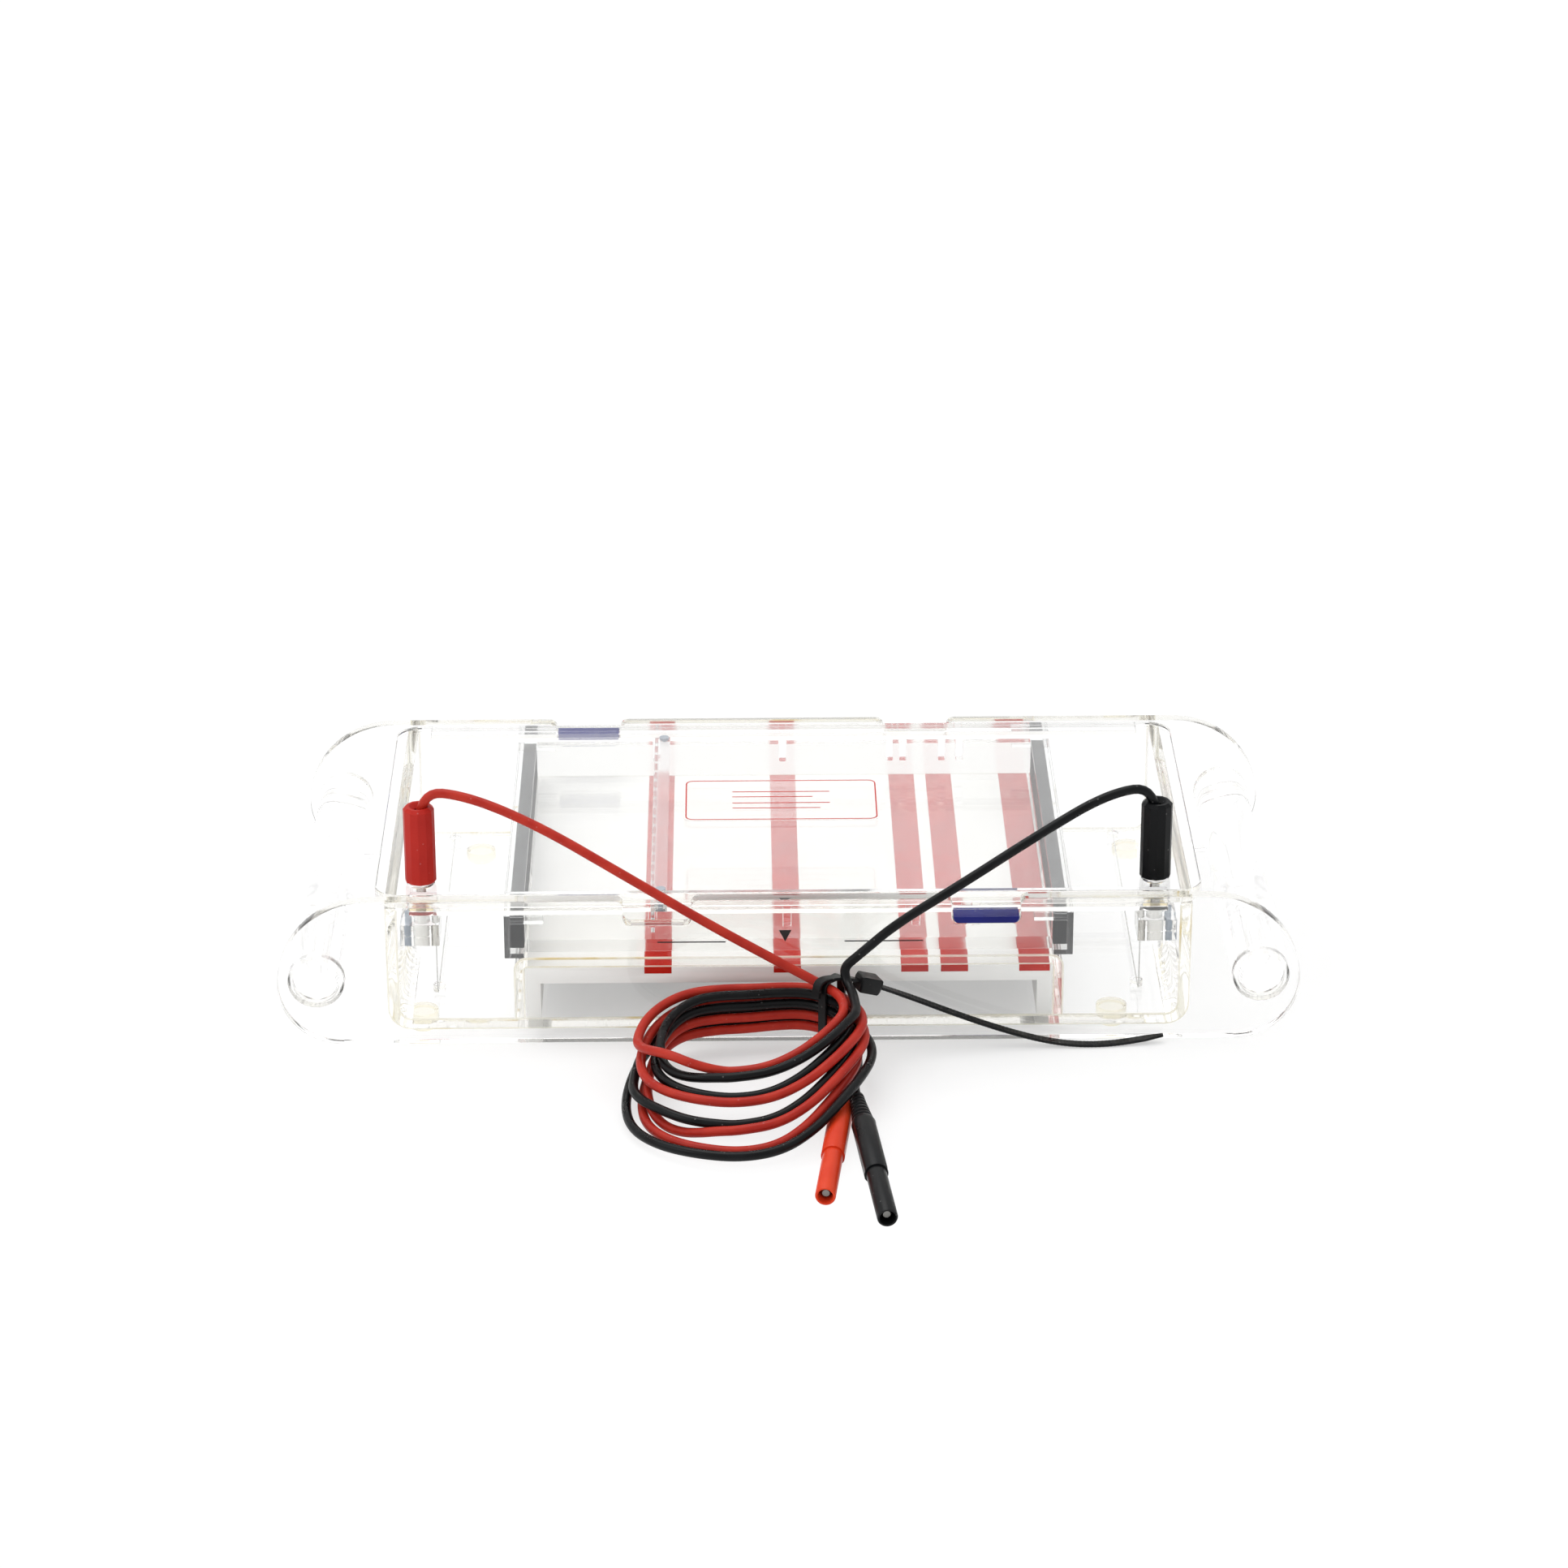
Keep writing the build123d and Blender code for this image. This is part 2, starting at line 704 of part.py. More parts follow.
def coil_knots(lead):
    """Places and directions of travel along one lead's turns, from lead-in to safety plug."""
    route = lead_routes[lead]
    start = Vector(*route[-1])
    start_way = (start - Vector(*route[-2])).normalized()
    rear, mouth = (Vector(*end) for end in safety_plug_ends[lead])
    end_way = (mouth - rear).normalized()
    knots = [(start + start_way * lead_diameter, start_way)]
    knots += [(Vector(*place), Vector(*way).normalized()) for place, way in lead_in[lead]]
    for turn in range(turn_count + 1):
        for share, place, change, side, way in stations:
            travelled = turn + share
            crossing = share == crossing_share
            if not first_share[lead] <= travelled <= turn_count or (crossing and turn not in crossing_lifts):
                continue
            knot = Vector(*place) + Vector(*change) * travelled
            step = Vector(*side) * wider_steps.get((turn, share), 1)
            if crossing:
                knot += step / 2 + Vector(0, 0, crossing_lifts[turn][lead])
            elif lead == outer_leads[turn + round(share)]:
                knot += step
            knots.append((knot, Vector(*way).normalized()))
    knots += [(Vector(*place), Vector(*way).normalized()) for place, way in lead_out[lead]]
    knots.append((rear - end_way * lead_diameter, end_way))
    return knots


def arc_middle(start, apex, end):
    """Middle of the arc whose end tangents meet at the apex."""
    chord_middle = (start + end) / 2
    rise = apex - chord_middle
    half_turn = atan2(rise.length, (end - start).length / 2)
    return chord_middle + rise * (cos(half_turn) / (1 + cos(half_turn)))


def biarc(start, start_way, end, end_way):
    """Two tangent arcs that leave start along one direction and reach end along another."""
    span = end - start
    ways = start_way + end_way
    along = span.dot(ways)
    bend = 1 - start_way.dot(end_way)
    reach = span.dot(span) / (along + (along ** 2 + 2 * bend * span.dot(span)) ** 0.5)
    first_apex = start + start_way * reach
    second_apex = end - end_way * reach
    joint = (first_apex + second_apex) / 2
    return (start, first_apex, joint), (joint, second_apex, end)


def coil(lead):
    """One lead's turns as an unbroken tube, and its middle line."""
    knots = coil_knots(lead)
    with BuildPart() as tube:
        with BuildLine() as line:
            Line(knots[0][0] - knots[0][1] * lead_diameter, knots[0][0])
            for (start, start_way), (end, end_way) in pairwise(knots):
                for first, apex, last in biarc(start, start_way, end, end_way):
                    ThreePointArc(first, arc_middle(first, apex, last), last)
            Line(knots[-1][0], knots[-1][0] + knots[-1][1] * lead_diameter)
        middle_line = line.wire()
        with BuildSketch(Plane(origin=middle_line @ 0, z_dir=middle_line % 0)):
            Circle(lead_diameter / 2)
        sweep()
    return tube, middle_line


def line_points(line):
    """Points about 1.5 mm apart along a line."""
    count = round(line.length / 1.5)
    return [tuple(line.position_at(step / count)) for step in range(count + 1)]


def least_gap(points, others):
    """Least air between two tubes; on one tube, places under five diameters apart are left out."""
    apart = 5 * lead_diameter / 1.5 if points is others else 0
    return min(dist(a, b) for i, a in enumerate(points) for j, b in enumerate(others)
               if abs(i - j) >= apart) - lead_diameter


def cable_tie():
    """Tie round the hank: ring, head and loose tail in one piece."""
    place, change, side = (Vector(*stations[0][k]) for k in (1, 2, 3))
    travel = Vector(stations[0][4][0], stations[0][4][1], 0).normalized()
    across = Vector(0, 0, 1).cross(travel)
    middle = place + side / 2 + change * (turn_count / 2)
    inner_width = side.length + lead_diameter + 2 * tie_slack
    inner_height = change.length * turn_count + lead_diameter + 2 * tie_slack
    inner_round = lead_diameter / 2
    ring = Plane(origin=middle, x_dir=across, z_dir=travel)
    tail_y = -plate_face - tie_width / 2 - 0.5
    head_z = middle.Z + inner_height / 2 - 1.5
    head_x = middle.X + 7.2
    with BuildPart() as tie:
        with BuildSketch(ring):
            RectangleRounded(inner_width + 2 * tie_band, inner_height + 2 * tie_band,
                             inner_round + tie_band)
            RectangleRounded(inner_width, inner_height, inner_round, mode=Mode.SUBTRACT)
        extrude(amount=tie_width / 2, both=True)
        with Locations((head_x, tail_y - 1.9, head_z)):
            Box(*tie_head)
        with BuildSketch(section(tail_y + tie_width / 2)):
            with BuildLine():
                FilletPolyline(
                    (head_x, head_z), (head_x + 17, head_z - 1.5), (70, 13), (92, 5),
                    (120, tie_tail_thickness / 2 + 0.1), (152, tie_tail_thickness / 2 + 0.1), radius=25)
            trace(line_width=tie_tail_thickness)
        extrude(amount=tie_width)
    return tie


def safety_plug(lead):
    """Shrouded plug: ribbed strain relief, grip and an open sleeve round the pin."""
    rear, mouth = (Vector(*end) for end in safety_plug_ends[lead])
    place = Plane(origin=rear, z_dir=mouth - rear)
    relief = relief_diameter / 2
    grip = grip_diameter / 2
    sleeve = sleeve_diameter / 2
    relief_length = plug_length - sleeve_length - grip_length
    pitch = relief_length / (relief_ribs + 1)
    outline = [(0, 0)]
    for rib in range(relief_ribs):
        foot = rib * pitch
        outline += [(relief, foot), (relief, foot + pitch / 2),
                    (relief - relief_rib_depth, foot + pitch / 2), (relief - relief_rib_depth, foot + pitch)]
    neck = relief_length - pitch
    outline += [(relief, neck), (relief + 0.3, relief_length), (grip, relief_length + 5),
                (grip, relief_length + grip_length), (sleeve, relief_length + grip_length),
                (sleeve, plug_length), (sleeve - sleeve_wall, plug_length),
                (sleeve - sleeve_wall, plug_length - sleeve_bore_depth),
                (0, plug_length - sleeve_bore_depth)]
    return turned(place, outline)


def safety_pin(lead):
    """Pin inside the sleeve, stopping short of its mouth."""
    rear, mouth = (Vector(*end) for end in safety_plug_ends[lead])
    place = Plane(origin=rear, z_dir=mouth - rear)
    root = plug_length - sleeve_bore_depth
    radius = pin_diameter / 2
    return turned(place, [(0, root), (radius, root), (radius, plug_length - 3.5),
                          (radius - 0.6, plug_length - 2.5), (0, plug_length - 2.5)])


os.makedirs("parts", exist_ok=True)

write("front_plate", end_plate(-plate_face, (front_grip_place, front_tab_place)))
write("back_plate", end_plate(inner_face, (back_tab_place, back_grip_place)))
for side_name, sign in SIDES:
    write(f"handle_tube_{side_name}", handle_tube(sign * tube_spacing / 2))

wall_x = (trough_width - trough_sheet) / 2
floor_z = foot_height + trough_sheet / 2
write("trough", bent_sheet(((-wall_x, wall_top), (-wall_x, floor_z), (wall_x, floor_z), (wall_x, wall_top)),
                           trough_sheet, trough_bend, inner_face))
leg_x = (platform_width - platform_sheet) / 2
deck_z = platform_top - platform_sheet / 2
write("gel_platform", bent_sheet(((-leg_x, floor_top), (-leg_x, deck_z), (leg_x, deck_z), (leg_x, floor_top)),
                                 platform_sheet, platform_bend, inner_face))
write("white_underlay", underlay())
write("red_strips", red_strips())
write("feet", feet())
write("fill_mark", fill_mark())

for side_name, sign in SIDES:
    write(f"socket_block_{side_name}", socket_block(sign))
    write(f"socket_{side_name}", socket(sign))
    write(f"electrode_wire_{side_name}", electrode_wire(sign))
    write(f"gate_{side_name}", gate(sign))
    write(f"gate_gasket_{side_name}", gate_gasket(sign))
write("retaining_pins", upright_pins(side_pin_offset, retaining_pin_diameter, retaining_pin_span))
write("terminal_screws", upright_pins(-side_pin_offset, terminal_screw_diameter, terminal_screw_span))
write("wire_posts", wire_posts())

write("gel_tray", gel_tray())
write("comb_blade", comb_blade())
write("comb_bar", comb_bar())
write("comb_screws", comb_screws())

write("lid_plate", lid_plate())
write("lid_strip_front", lid_strip(-1))
write("lid_strip_back", lid_strip(1))
write("lift_tab_front", lift_tab(-1, front_tab_place))
write("lift_tab_back", lift_tab(1, back_tab_place))
write("label_panel", label_panel())

lines = {}
for lead, sign in LEADS:
    write(f"plug_handle_{lead}", plug_handle(sign))
    write(f"plug_pin_{lead}", plug_pin(sign))
    write(f"lead_{lead}", cord(lead_routes[lead]))
    tube, lines[lead] = coil(lead)
    write(f"coil_{lead}", tube)
    write(f"safety_plug_{lead}", safety_plug(lead))
    write(f"safety_pin_{lead}", safety_pin(lead))
    print(lead, "bend radii", [round(r, 1) for r in route_radii(lead_routes[lead])],
          "coil length", round(lines[lead].length))
write("cable_tie", cable_tie())

red_points, black_points = line_points(lines["red"]), line_points(lines["black"])
print("least gap of the red turns", round(least_gap(red_points, red_points), 2))
print("least gap of the black turns", round(least_gap(black_points, black_points), 2))
print("least gap between the leads", round(least_gap(red_points, black_points), 2))
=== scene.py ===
# %% [markdown]
# Horizontal electrophoresis chamber, dressed for its picture.
# The construction comes from the CAD model as one fixed frame in metres, with the X axis along
# the tank, Y towards the back plate and Z up. This lesson adds the camera, the two leads, the
# light and every finish. New pieces are worked out with numpy as whole arrays of points.

# %% The frame
import math

import bpy
import numpy as np
from mathutils import Matrix


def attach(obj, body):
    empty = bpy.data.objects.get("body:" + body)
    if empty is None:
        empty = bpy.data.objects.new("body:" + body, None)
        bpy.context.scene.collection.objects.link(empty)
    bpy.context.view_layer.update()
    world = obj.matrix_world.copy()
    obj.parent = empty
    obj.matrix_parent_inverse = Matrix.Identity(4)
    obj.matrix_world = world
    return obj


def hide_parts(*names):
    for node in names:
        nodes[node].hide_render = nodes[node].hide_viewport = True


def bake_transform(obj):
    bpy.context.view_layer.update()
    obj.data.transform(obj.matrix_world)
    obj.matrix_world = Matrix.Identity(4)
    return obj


MM = 0.001
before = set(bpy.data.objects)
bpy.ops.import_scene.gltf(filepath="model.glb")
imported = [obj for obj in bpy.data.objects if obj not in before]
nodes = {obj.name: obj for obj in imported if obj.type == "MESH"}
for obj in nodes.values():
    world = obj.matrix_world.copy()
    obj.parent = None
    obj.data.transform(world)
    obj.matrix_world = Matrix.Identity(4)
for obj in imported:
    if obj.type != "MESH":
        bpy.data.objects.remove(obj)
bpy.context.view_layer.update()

# %% [markdown]
# The camera stands about two metres in front of the tank and looks down on it with a long lens.
# Its place and its three angles were found by fitting the corners of the real tank, so it is
# written as numbers: a Blender camera looks along its own -Z, with X to the right and Y up.

# %% Camera
eye = np.array([-20.98, -1836.2, 902.2]) * MM
yaw, pitch, roll = 0.01098, 0.42443, -0.0025276
focal_pixels, picture_pixels = 6061.4, 1932
forward = np.array([math.sin(yaw) * math.cos(pitch), math.cos(yaw) * math.cos(pitch),
                    -math.sin(pitch)])
level = np.array([math.cos(yaw), -math.sin(yaw), 0.0])
upward = np.cross(level, forward)
right = math.cos(roll) * level + math.sin(roll) * upward
up = math.cos(roll) * upward - math.sin(roll) * level

camera_data = bpy.data.cameras.new("camera")
camera_data.sensor_width = 36.0  # millimetres
camera_data.lens = focal_pixels / picture_pixels * camera_data.sensor_width
camera = bpy.data.objects.new("camera", camera_data)
bpy.context.collection.objects.link(camera)
pose = np.eye(4)
pose[:3, 0], pose[:3, 1], pose[:3, 2], pose[:3, 3] = right, up, -forward, eye
camera.matrix_world = Matrix(pose.tolist())
bpy.context.scene.camera = camera
print("lens", round(camera_data.lens, 2), "mm at", round(float(np.linalg.norm(eye)), 3), "m")

# %% [markdown]
# Each lead is one length of soft silicone cord. It rises out of its plug, falls over the lid to
# the tie, and is wound with the other lead into a loose hank before it ends in a safety plug.
# A cord could be drawn as a chain of arcs, but a real one changes its bend smoothly, so its
# middle line is one NURBS curve whose control points are the places that it passes near.

# %% The free stretch of each lead
routes = {
    "red": [(-146, -68.6, 84), (-146, -68.6, 101.6), (-126, -71.5, 100.4), (-98, -80.5, 91.3),
            (-66, -92.5, 76.2), (-31.5, -97.5, 56), (0, -98.5, 37.5)],
    "black": [(146, -68.6, 84), (146, -68.6, 101.6), (126, -71.5, 99.6), (98, -81, 86),
              (66, -93, 69.5), (42, -98, 56), (29, -100, 45)],
}
plug_ends = {  # rear and mouth of each safety plug
    "red": ((21.5, -140.9, 6.8), (11.8, -224, 4.4)),
    "black": ((25.2, -157.8, 10.7), (34.6, -241, 4.4)),
}
cord_diameter = 3.8
print("free stretches:", {lead: len(route) for lead, route in routes.items()}, "control points")

# %% [markdown]
# The hank has stations that the cord meets in every turn, each with a place and a direction of
# travel. They drift a little from turn to turn, which makes the turns fan out and settle. The
# two leads lie side by side and change sides twice: there they meet at the crossing station,
# one lifted over the other.

# %% Stations of the hank
stations = [  # share of the turn, place, drift per turn, outer lead's step aside, direction
    (0.00, (15.0, -102.3, 30.5), (0.0, 0.0, -4.7), (3.6, 3.5, 0.0), (0.72, -0.69, -0.05)),
    (0.22, (19.0, -124.5, 29.6), (0.9, -8.2, -4.4), (5.2, -1.0, 1.5), (-0.45, -0.89, -0.08)),
    (0.45, (-23.0, -145.5, 21.0), (1.0, -13.3, -4.5), (0.0, -5.7, 0.6), (-1.0, 0.10, 0.0)),
    (0.56, (-42.0, -140.5, 20.6), (-1.2, -10.4, -4.5), (-4.0, -4.0, 0.3), (-0.74, 0.66, 0.04)),
    (0.67, (-49.0, -121.5, 24.4), (-2.5, -8.4, -5.4), (-5.8, 0.0, 0.0), (0.05, 0.98, 0.10)),
    (0.87, (-26.0, -101.0, 31.0), (-0.8, 0.0, -5.1), (0.0, 5.6, 0.0), (1.0, -0.10, 0.0)),
]
turns = 4
crossing = 3  # the station that is only met where the leads change sides
outer = ["black", "red", "red", "black", "black"]
lifts = {0: {"red": 6.2, "black": -1.1}, 2: {"red": -5.2, "black": 1.3}}
wider = {(0, 2): 1.05, (0, 3): 1.2, (0, 4): 1.6, (0, 5): 1.05, (1, 1): 1.05, (1, 2): 0.9,
         (2, 1): 0.8, (2, 2): 0.95, (3, 1): 1.05, (3, 2): 0.95, (3, 4): 1.1}
first_share = {"red": 0.0, "black": 0.2}
lead_in = {"red": [], "black": [((21.8, -101, 37), (-0.05, -0.25, -0.96)),
                                ((25, -111, 31), (0.08, -0.98, -0.15))]}
lead_out = {"red": [((20.6, -124, 8.0), (0.0, -1, -0.06))],
            "black": [((26.2, -134, 9.6), (-0.04, -1, 0.03))]}
print("hank:", len(stations), "stations in", turns, "turns")

# %% [markdown]
# A strand stands at a station's place, plus its drift times the turns travelled, plus a step
# aside if it is the outer lead there. Between stations it follows a Hermite curve, which keeps
# the direction at both. Straight lines would kink, and a curve that knows only the places could
# swing out into its neighbours.

# %% Knots and control points
def unit(vectors):
    """Vectors divided by their lengths."""
    vectors = np.asarray(vectors, float)
    return vectors / np.linalg.norm(vectors, axis=-1, keepdims=True)


def hank_knots(lead):
    """Places and directions from the free stretch to the safety plug: place + drift x turns + step."""
    route = np.array(routes[lead], float)
    way = unit(route[-1] - route[-2])
    rear, mouth = np.array(plug_ends[lead], float)
    end_way = unit(mouth - rear)
    share, place, drift, side, ways = (np.array([s[k] for s in stations]) for k in range(5))
    turn, station = np.divmod(np.arange(turns * len(stations) + 1), len(stations))
    travelled = turn + share[station]
    step = np.array([wider.get(pair, 1.0) for pair in zip(turn.tolist(), station.tolist())])
    step *= [outer[t] == lead for t in turn + (share[station] > 0.5)]
    rise = np.zeros((len(turn), 3))
    for t, lift in lifts.items():
        step[t * len(stations) + crossing] = wider.get((t, crossing), 1.0) / 2
        rise[t * len(stations) + crossing, 2] = lift[lead]
    kept = (travelled >= first_share[lead]) & ((station != crossing) | np.isin(turn, list(lifts)))
    knots = place[station] + drift[station] * travelled[:, None]
    knots = knots + side[station] * step[:, None] + rise
    places = [route[-1] + way * cord_diameter, *(np.array(p) for p, _ in lead_in[lead]),
              *knots[kept], *(np.array(p) for p, _ in lead_out[lead]),
              rear - end_way * cord_diameter]
    travel = [way, *(unit(w) for _, w in lead_in[lead]), *unit(ways[station][kept]),
              *(unit(w) for _, w in lead_out[lead]), end_way]
    return np.array(places), np.array(travel)


def hermite_points(places, travel, steps):
    """Points between knots a and b, left with speed va and reached with speed vb.

    With t from 0 to 1: (2t^3 - 3t^2 + 1) a + (t^3 - 2t^2 + t) va + (3t^2 - 2t^3) b
    + (t^3 - t^2) vb.
    """
    chord = np.linalg.norm(places[1:] - places[:-1], axis=1)
    turn = np.arccos(np.clip(np.sum(travel[1:] * travel[:-1], axis=1), -1, 1))
    speed = (2 * chord / (1 + np.cos(turn / 2)))[:, None, None]
    t = (np.arange(steps) / steps)[None, :, None]
    a, b = places[:-1, None], places[1:, None]
    va, vb = travel[:-1, None] * speed, travel[1:, None] * speed
    curve = (2 * t**3 - 3 * t**2 + 1) * a + (t**3 - 2 * t**2 + t) * va
    curve = curve + (3 * t**2 - 2 * t**3) * b + (t**3 - t**2) * vb
    return curve.reshape(-1, 3)


control_points = {}
for lead in routes:
    places, travel = hank_knots(lead)
    rear = np.array(plug_ends[lead][0], float)
    turn_points = hermite_points(places, travel, steps=4)
    control_points[lead] = np.vstack([routes[lead], turn_points, places[-1], rear]) * MM
    print(lead, "lead:", len(control_points[lead]), "control points")

# %% [markdown]
# The jacket of a lead is drawn from the points of its middle line. They could be worked out by
# hand, but Blender already knows the formula of a NURBS curve, so a curve is made for a moment,
# turned into points and removed again.

# %% Middle line of each lead
def middle_line(name, points):
    """Points of the NURBS curve of order 3 that has these control points and touches its ends."""
    curve = bpy.data.curves.new(name, "CURVE")
    curve.dimensions = "3D"
    curve.resolution_u = 8
    spline = curve.splines.new("NURBS")
    spline.points.add(len(points) - 1)
    spline.points.foreach_set("co", np.column_stack([points, np.ones(len(points))]).ravel())
    spline.order_u = 3
    spline.use_endpoint_u = True
    holder = bpy.data.objects.new(name, curve)
    bpy.context.collection.objects.link(holder)
    line = bpy.data.meshes.new_from_object(holder)
    path = np.empty(3 * len(line.vertices))
    line.vertices.foreach_get("co", path)
    bpy.data.objects.remove(holder)
    bpy.data.meshes.remove(line)
    bpy.data.curves.remove(curve)
    return path.reshape(-1, 3)


def length_of(path):
    """Sum of the distances between neighbouring points."""
    return float(np.linalg.norm(np.diff(path, axis=0), axis=1).sum())


paths = {lead: middle_line(f"line_{lead}", points) for lead, points in control_points.items()}
print({lead: (len(path), round(length_of(path), 3)) for lead, path in paths.items()})

# %% [markdown]
# Every swept or turned piece below is a grid: rings of points set one after another, joined by
# quads and closed by a fan at each end. Building the index arrays with numpy keeps it fast, and
# one function then serves cords, plugs, straps and glue lines. The sign of the enclosed volume
# tells whether the faces point outwards, so no piece depends on the order of its rings.

# %% Rings to mesh
def shell_from_rings(rings, closed):
    """Points, quads between rings i and i + 1, and the triangles of a fan at each open end."""
    count, around = rings.shape[:2]
    index = np.arange(count * around).reshape(count, around)
    last = index if closed else index[:-1]
    after = np.roll(index, -1, axis=0) if closed else index[1:]
    corners = [last, np.roll(last, -1, 1), np.roll(after, -1, 1), after]
    quads = np.stack(corners, axis=-1).reshape(-1, 4)
    points = rings.reshape(-1, 3)
    triangles = np.vstack([quads[:, [0, 1, 2]], quads[:, [0, 2, 3]]])
    fans = np.empty((0, 3), int)
    if not closed:
        points = np.vstack([points, rings[0].mean(axis=0), rings[-1].mean(axis=0)])
        first_hub, last_hub = (np.full(around, len(points) - back) for back in (2, 1))
        start = np.stack([np.roll(index[0], -1), index[0], first_hub], axis=-1)
        end = np.stack([index[-1], np.roll(index[-1], -1), last_hub], axis=-1)
        fans = np.vstack([start, end])
    a, b, c = (points[np.vstack([triangles, fans])[:, k]] - points[0] for k in range(3))
    outward = 1 if np.einsum("ij,ij->", a, np.cross(b, c)) > 0 else -1
    return points, quads[:, ::outward], fans[:, ::outward]


def mesh_from_rings(name, *shells):
    """One piece from shells: each is an array of rings, or a pair of rings and True for a loop."""
    points, faces = [], []
    for shell in shells:
        rings, closed = shell if isinstance(shell, tuple) else (shell, False)
        shell_points, quads, fans = shell_from_rings(rings, closed)
        faces += (quads + len(points)).tolist() + (fans + len(points)).tolist()
        points += shell_points.tolist()
    mesh = bpy.data.meshes.new(name)
    mesh.from_pydata(points, [], faces)
    mesh.polygons.foreach_set("use_smooth", np.ones(len(faces), bool))
    mesh.update()
    piece = bpy.data.objects.new(name, mesh)
    bpy.context.collection.objects.link(piece)
    return piece


print("helpers:", [helper.__name__ for helper in (shell_from_rings, mesh_from_rings)])

# %% [markdown]
# The jacket is a round silicone tube. A curve with a bevel would draw it too, but rings of points
# fit the same helper as the other pieces and follow the middle line point for point. A reference
# direction tells how each ring is turned: Y while the lead rises from its plug and crosses the
# lid, Z from the hank on, and a blend of both between.

# %% Lead tubes
def sweep_frames(path, reference):
    """Directions at each path point: its tangent, tangent x reference, and across both."""
    along = unit(np.gradient(path, axis=0))
    aside = unit(np.cross(along, reference))
    return along, aside, np.cross(aside, along)


def round_rings(path, radius, reference, around):
    """A circle at each path point: middle + radius (cos a aside + sin a above)."""
    _, aside, above = sweep_frames(path, reference)
    angle = np.linspace(0, 2 * np.pi, around, endpoint=False)
    radius = np.broadcast_to(radius, len(path))[:, None, None]
    cosine, sine = (value[None, :, None] for value in (np.cos(angle), np.sin(angle)))
    return path[:, None] + radius * (cosine * aside[:, None] + sine * above[:, None])


blend_start, blend_length = 90 * MM, 60 * MM  # where Y gives way to Z along the lead
lead_around = 20
leads = {}
for lead, path in paths.items():
    travelled = np.concatenate([[0], np.cumsum(np.linalg.norm(np.diff(path, axis=0), axis=1))])
    blend = np.clip((travelled - blend_start) / blend_length, 0, 1)[:, None]
    reference = (1 - blend) * np.array([0, 1, 0]) + blend * np.array([0, 0, 1])
    tube = round_rings(path, cord_diameter / 2 * MM, reference, lead_around)
    leads[lead] = mesh_from_rings(f"cord_{lead}", tube)
    print(lead, "lead", round(length_of(path), 3), "m,", len(leads[lead].data.polygons), "faces")

# %% [markdown]
# A safety plug is turned, so its outline is a list of radii along the axis. Seven ribs widen
# along the strain relief. Two flats on the grip cut the circle off at a fixed distance f from
# the axis, which makes the radius min(r, f / |cos a|).

# %% Safety plugs
rib_count, rib_pitch = 7, 2.5
grip_start, grip_end = 20, 53.9
grip_flat, no_flat = 4.35, 9.0  # distance f of the flats on the grip and elsewhere
plug_around = 48


def safety_plug(lead):
    """Rings of a plug: rear + along x place + min(r, f / |cos a|) (cos a aside + sin a above)."""
    rear, mouth = (np.array(end, float) for end in plug_ends[lead])
    rib = np.arange(rib_count)[:, None]
    crest = 2.8 + 1.5 * (rib / rib_count) ** 1.3
    places = (rib * rib_pitch + np.array([0, 1.3, 1.6, 2.2])).ravel()
    radii = (crest + np.array([0, 0.15, -0.45, -0.45])).ravel()
    places = np.concatenate([places, [17.5, 19.5, 21, 53.2, 54, 54, 83.4, 84, 84, 83.6, 62]])
    radii = np.concatenate([radii, [4.3, 4.8, 4.9, 4.9, 4.6, 3.95, 3.95, 3.7, 3.1, 2.85, 2.85]])
    along = unit(mouth - rear)
    aside = unit(np.cross(along, (0, 0, 1)))
    above = np.cross(aside, along)
    angle = np.linspace(0, 2 * np.pi, plug_around, endpoint=False)
    on_grip = (places > grip_start) & (places < grip_end)
    cut = np.where(on_grip, grip_flat, no_flat)[:, None]
    radius = np.minimum(radii[:, None], cut / np.maximum(np.abs(np.cos(angle)), 1e-6))[..., None]
    circle = np.cos(angle)[:, None] * aside + np.sin(angle)[:, None] * above
    return (rear + along * places[:, None, None] + radius * circle) * MM


safety_plugs = {lead: mesh_from_rings(f"plug_at_far_end_{lead}", safety_plug(lead))
                for lead in routes}
print("safety plugs:", {lead: len(piece.data.polygons) for lead, piece in safety_plugs.items()})

# %% [markdown]
# The tie, the dried glue and the printed lines are all flat bands. So one section with eased
# corners serves them all: it is carried along a path, with one direction for its width and one
# for its thickness.

# %% Bands
def strap_rings(path, aside, above, width, thickness):
    """A flat section with eased corners: middle + u width aside + v thickness above."""
    u = np.array([-0.5, -0.44, 0.44, 0.5, 0.5, 0.44, -0.44, -0.5])
    v = np.array([-0.3, -0.5, -0.5, -0.3, 0.3, 0.5, 0.5, 0.3])
    width, thickness = (np.broadcast_to(size, len(path))[:, None, None]
                        for size in (width, thickness))
    aside, above = (np.broadcast_to(way, path.shape)[:, None] for way in (aside, above))
    return path[:, None] + u[:, None] * width * aside + v[:, None] * thickness * above


def smooth_path(points, spacing):
    """Evenly spaced points along a smooth line near the given ones."""
    line = middle_line("smooth", np.array(points, float) * MM) / MM
    travelled = np.concatenate([[0], np.cumsum(np.linalg.norm(np.diff(line, axis=0), axis=1))])
    stops = np.linspace(0, travelled[-1], round(travelled[-1] / spacing) + 1)
    return np.stack([np.interp(stops, travelled, line[:, k]) for k in range(3)], axis=-1)


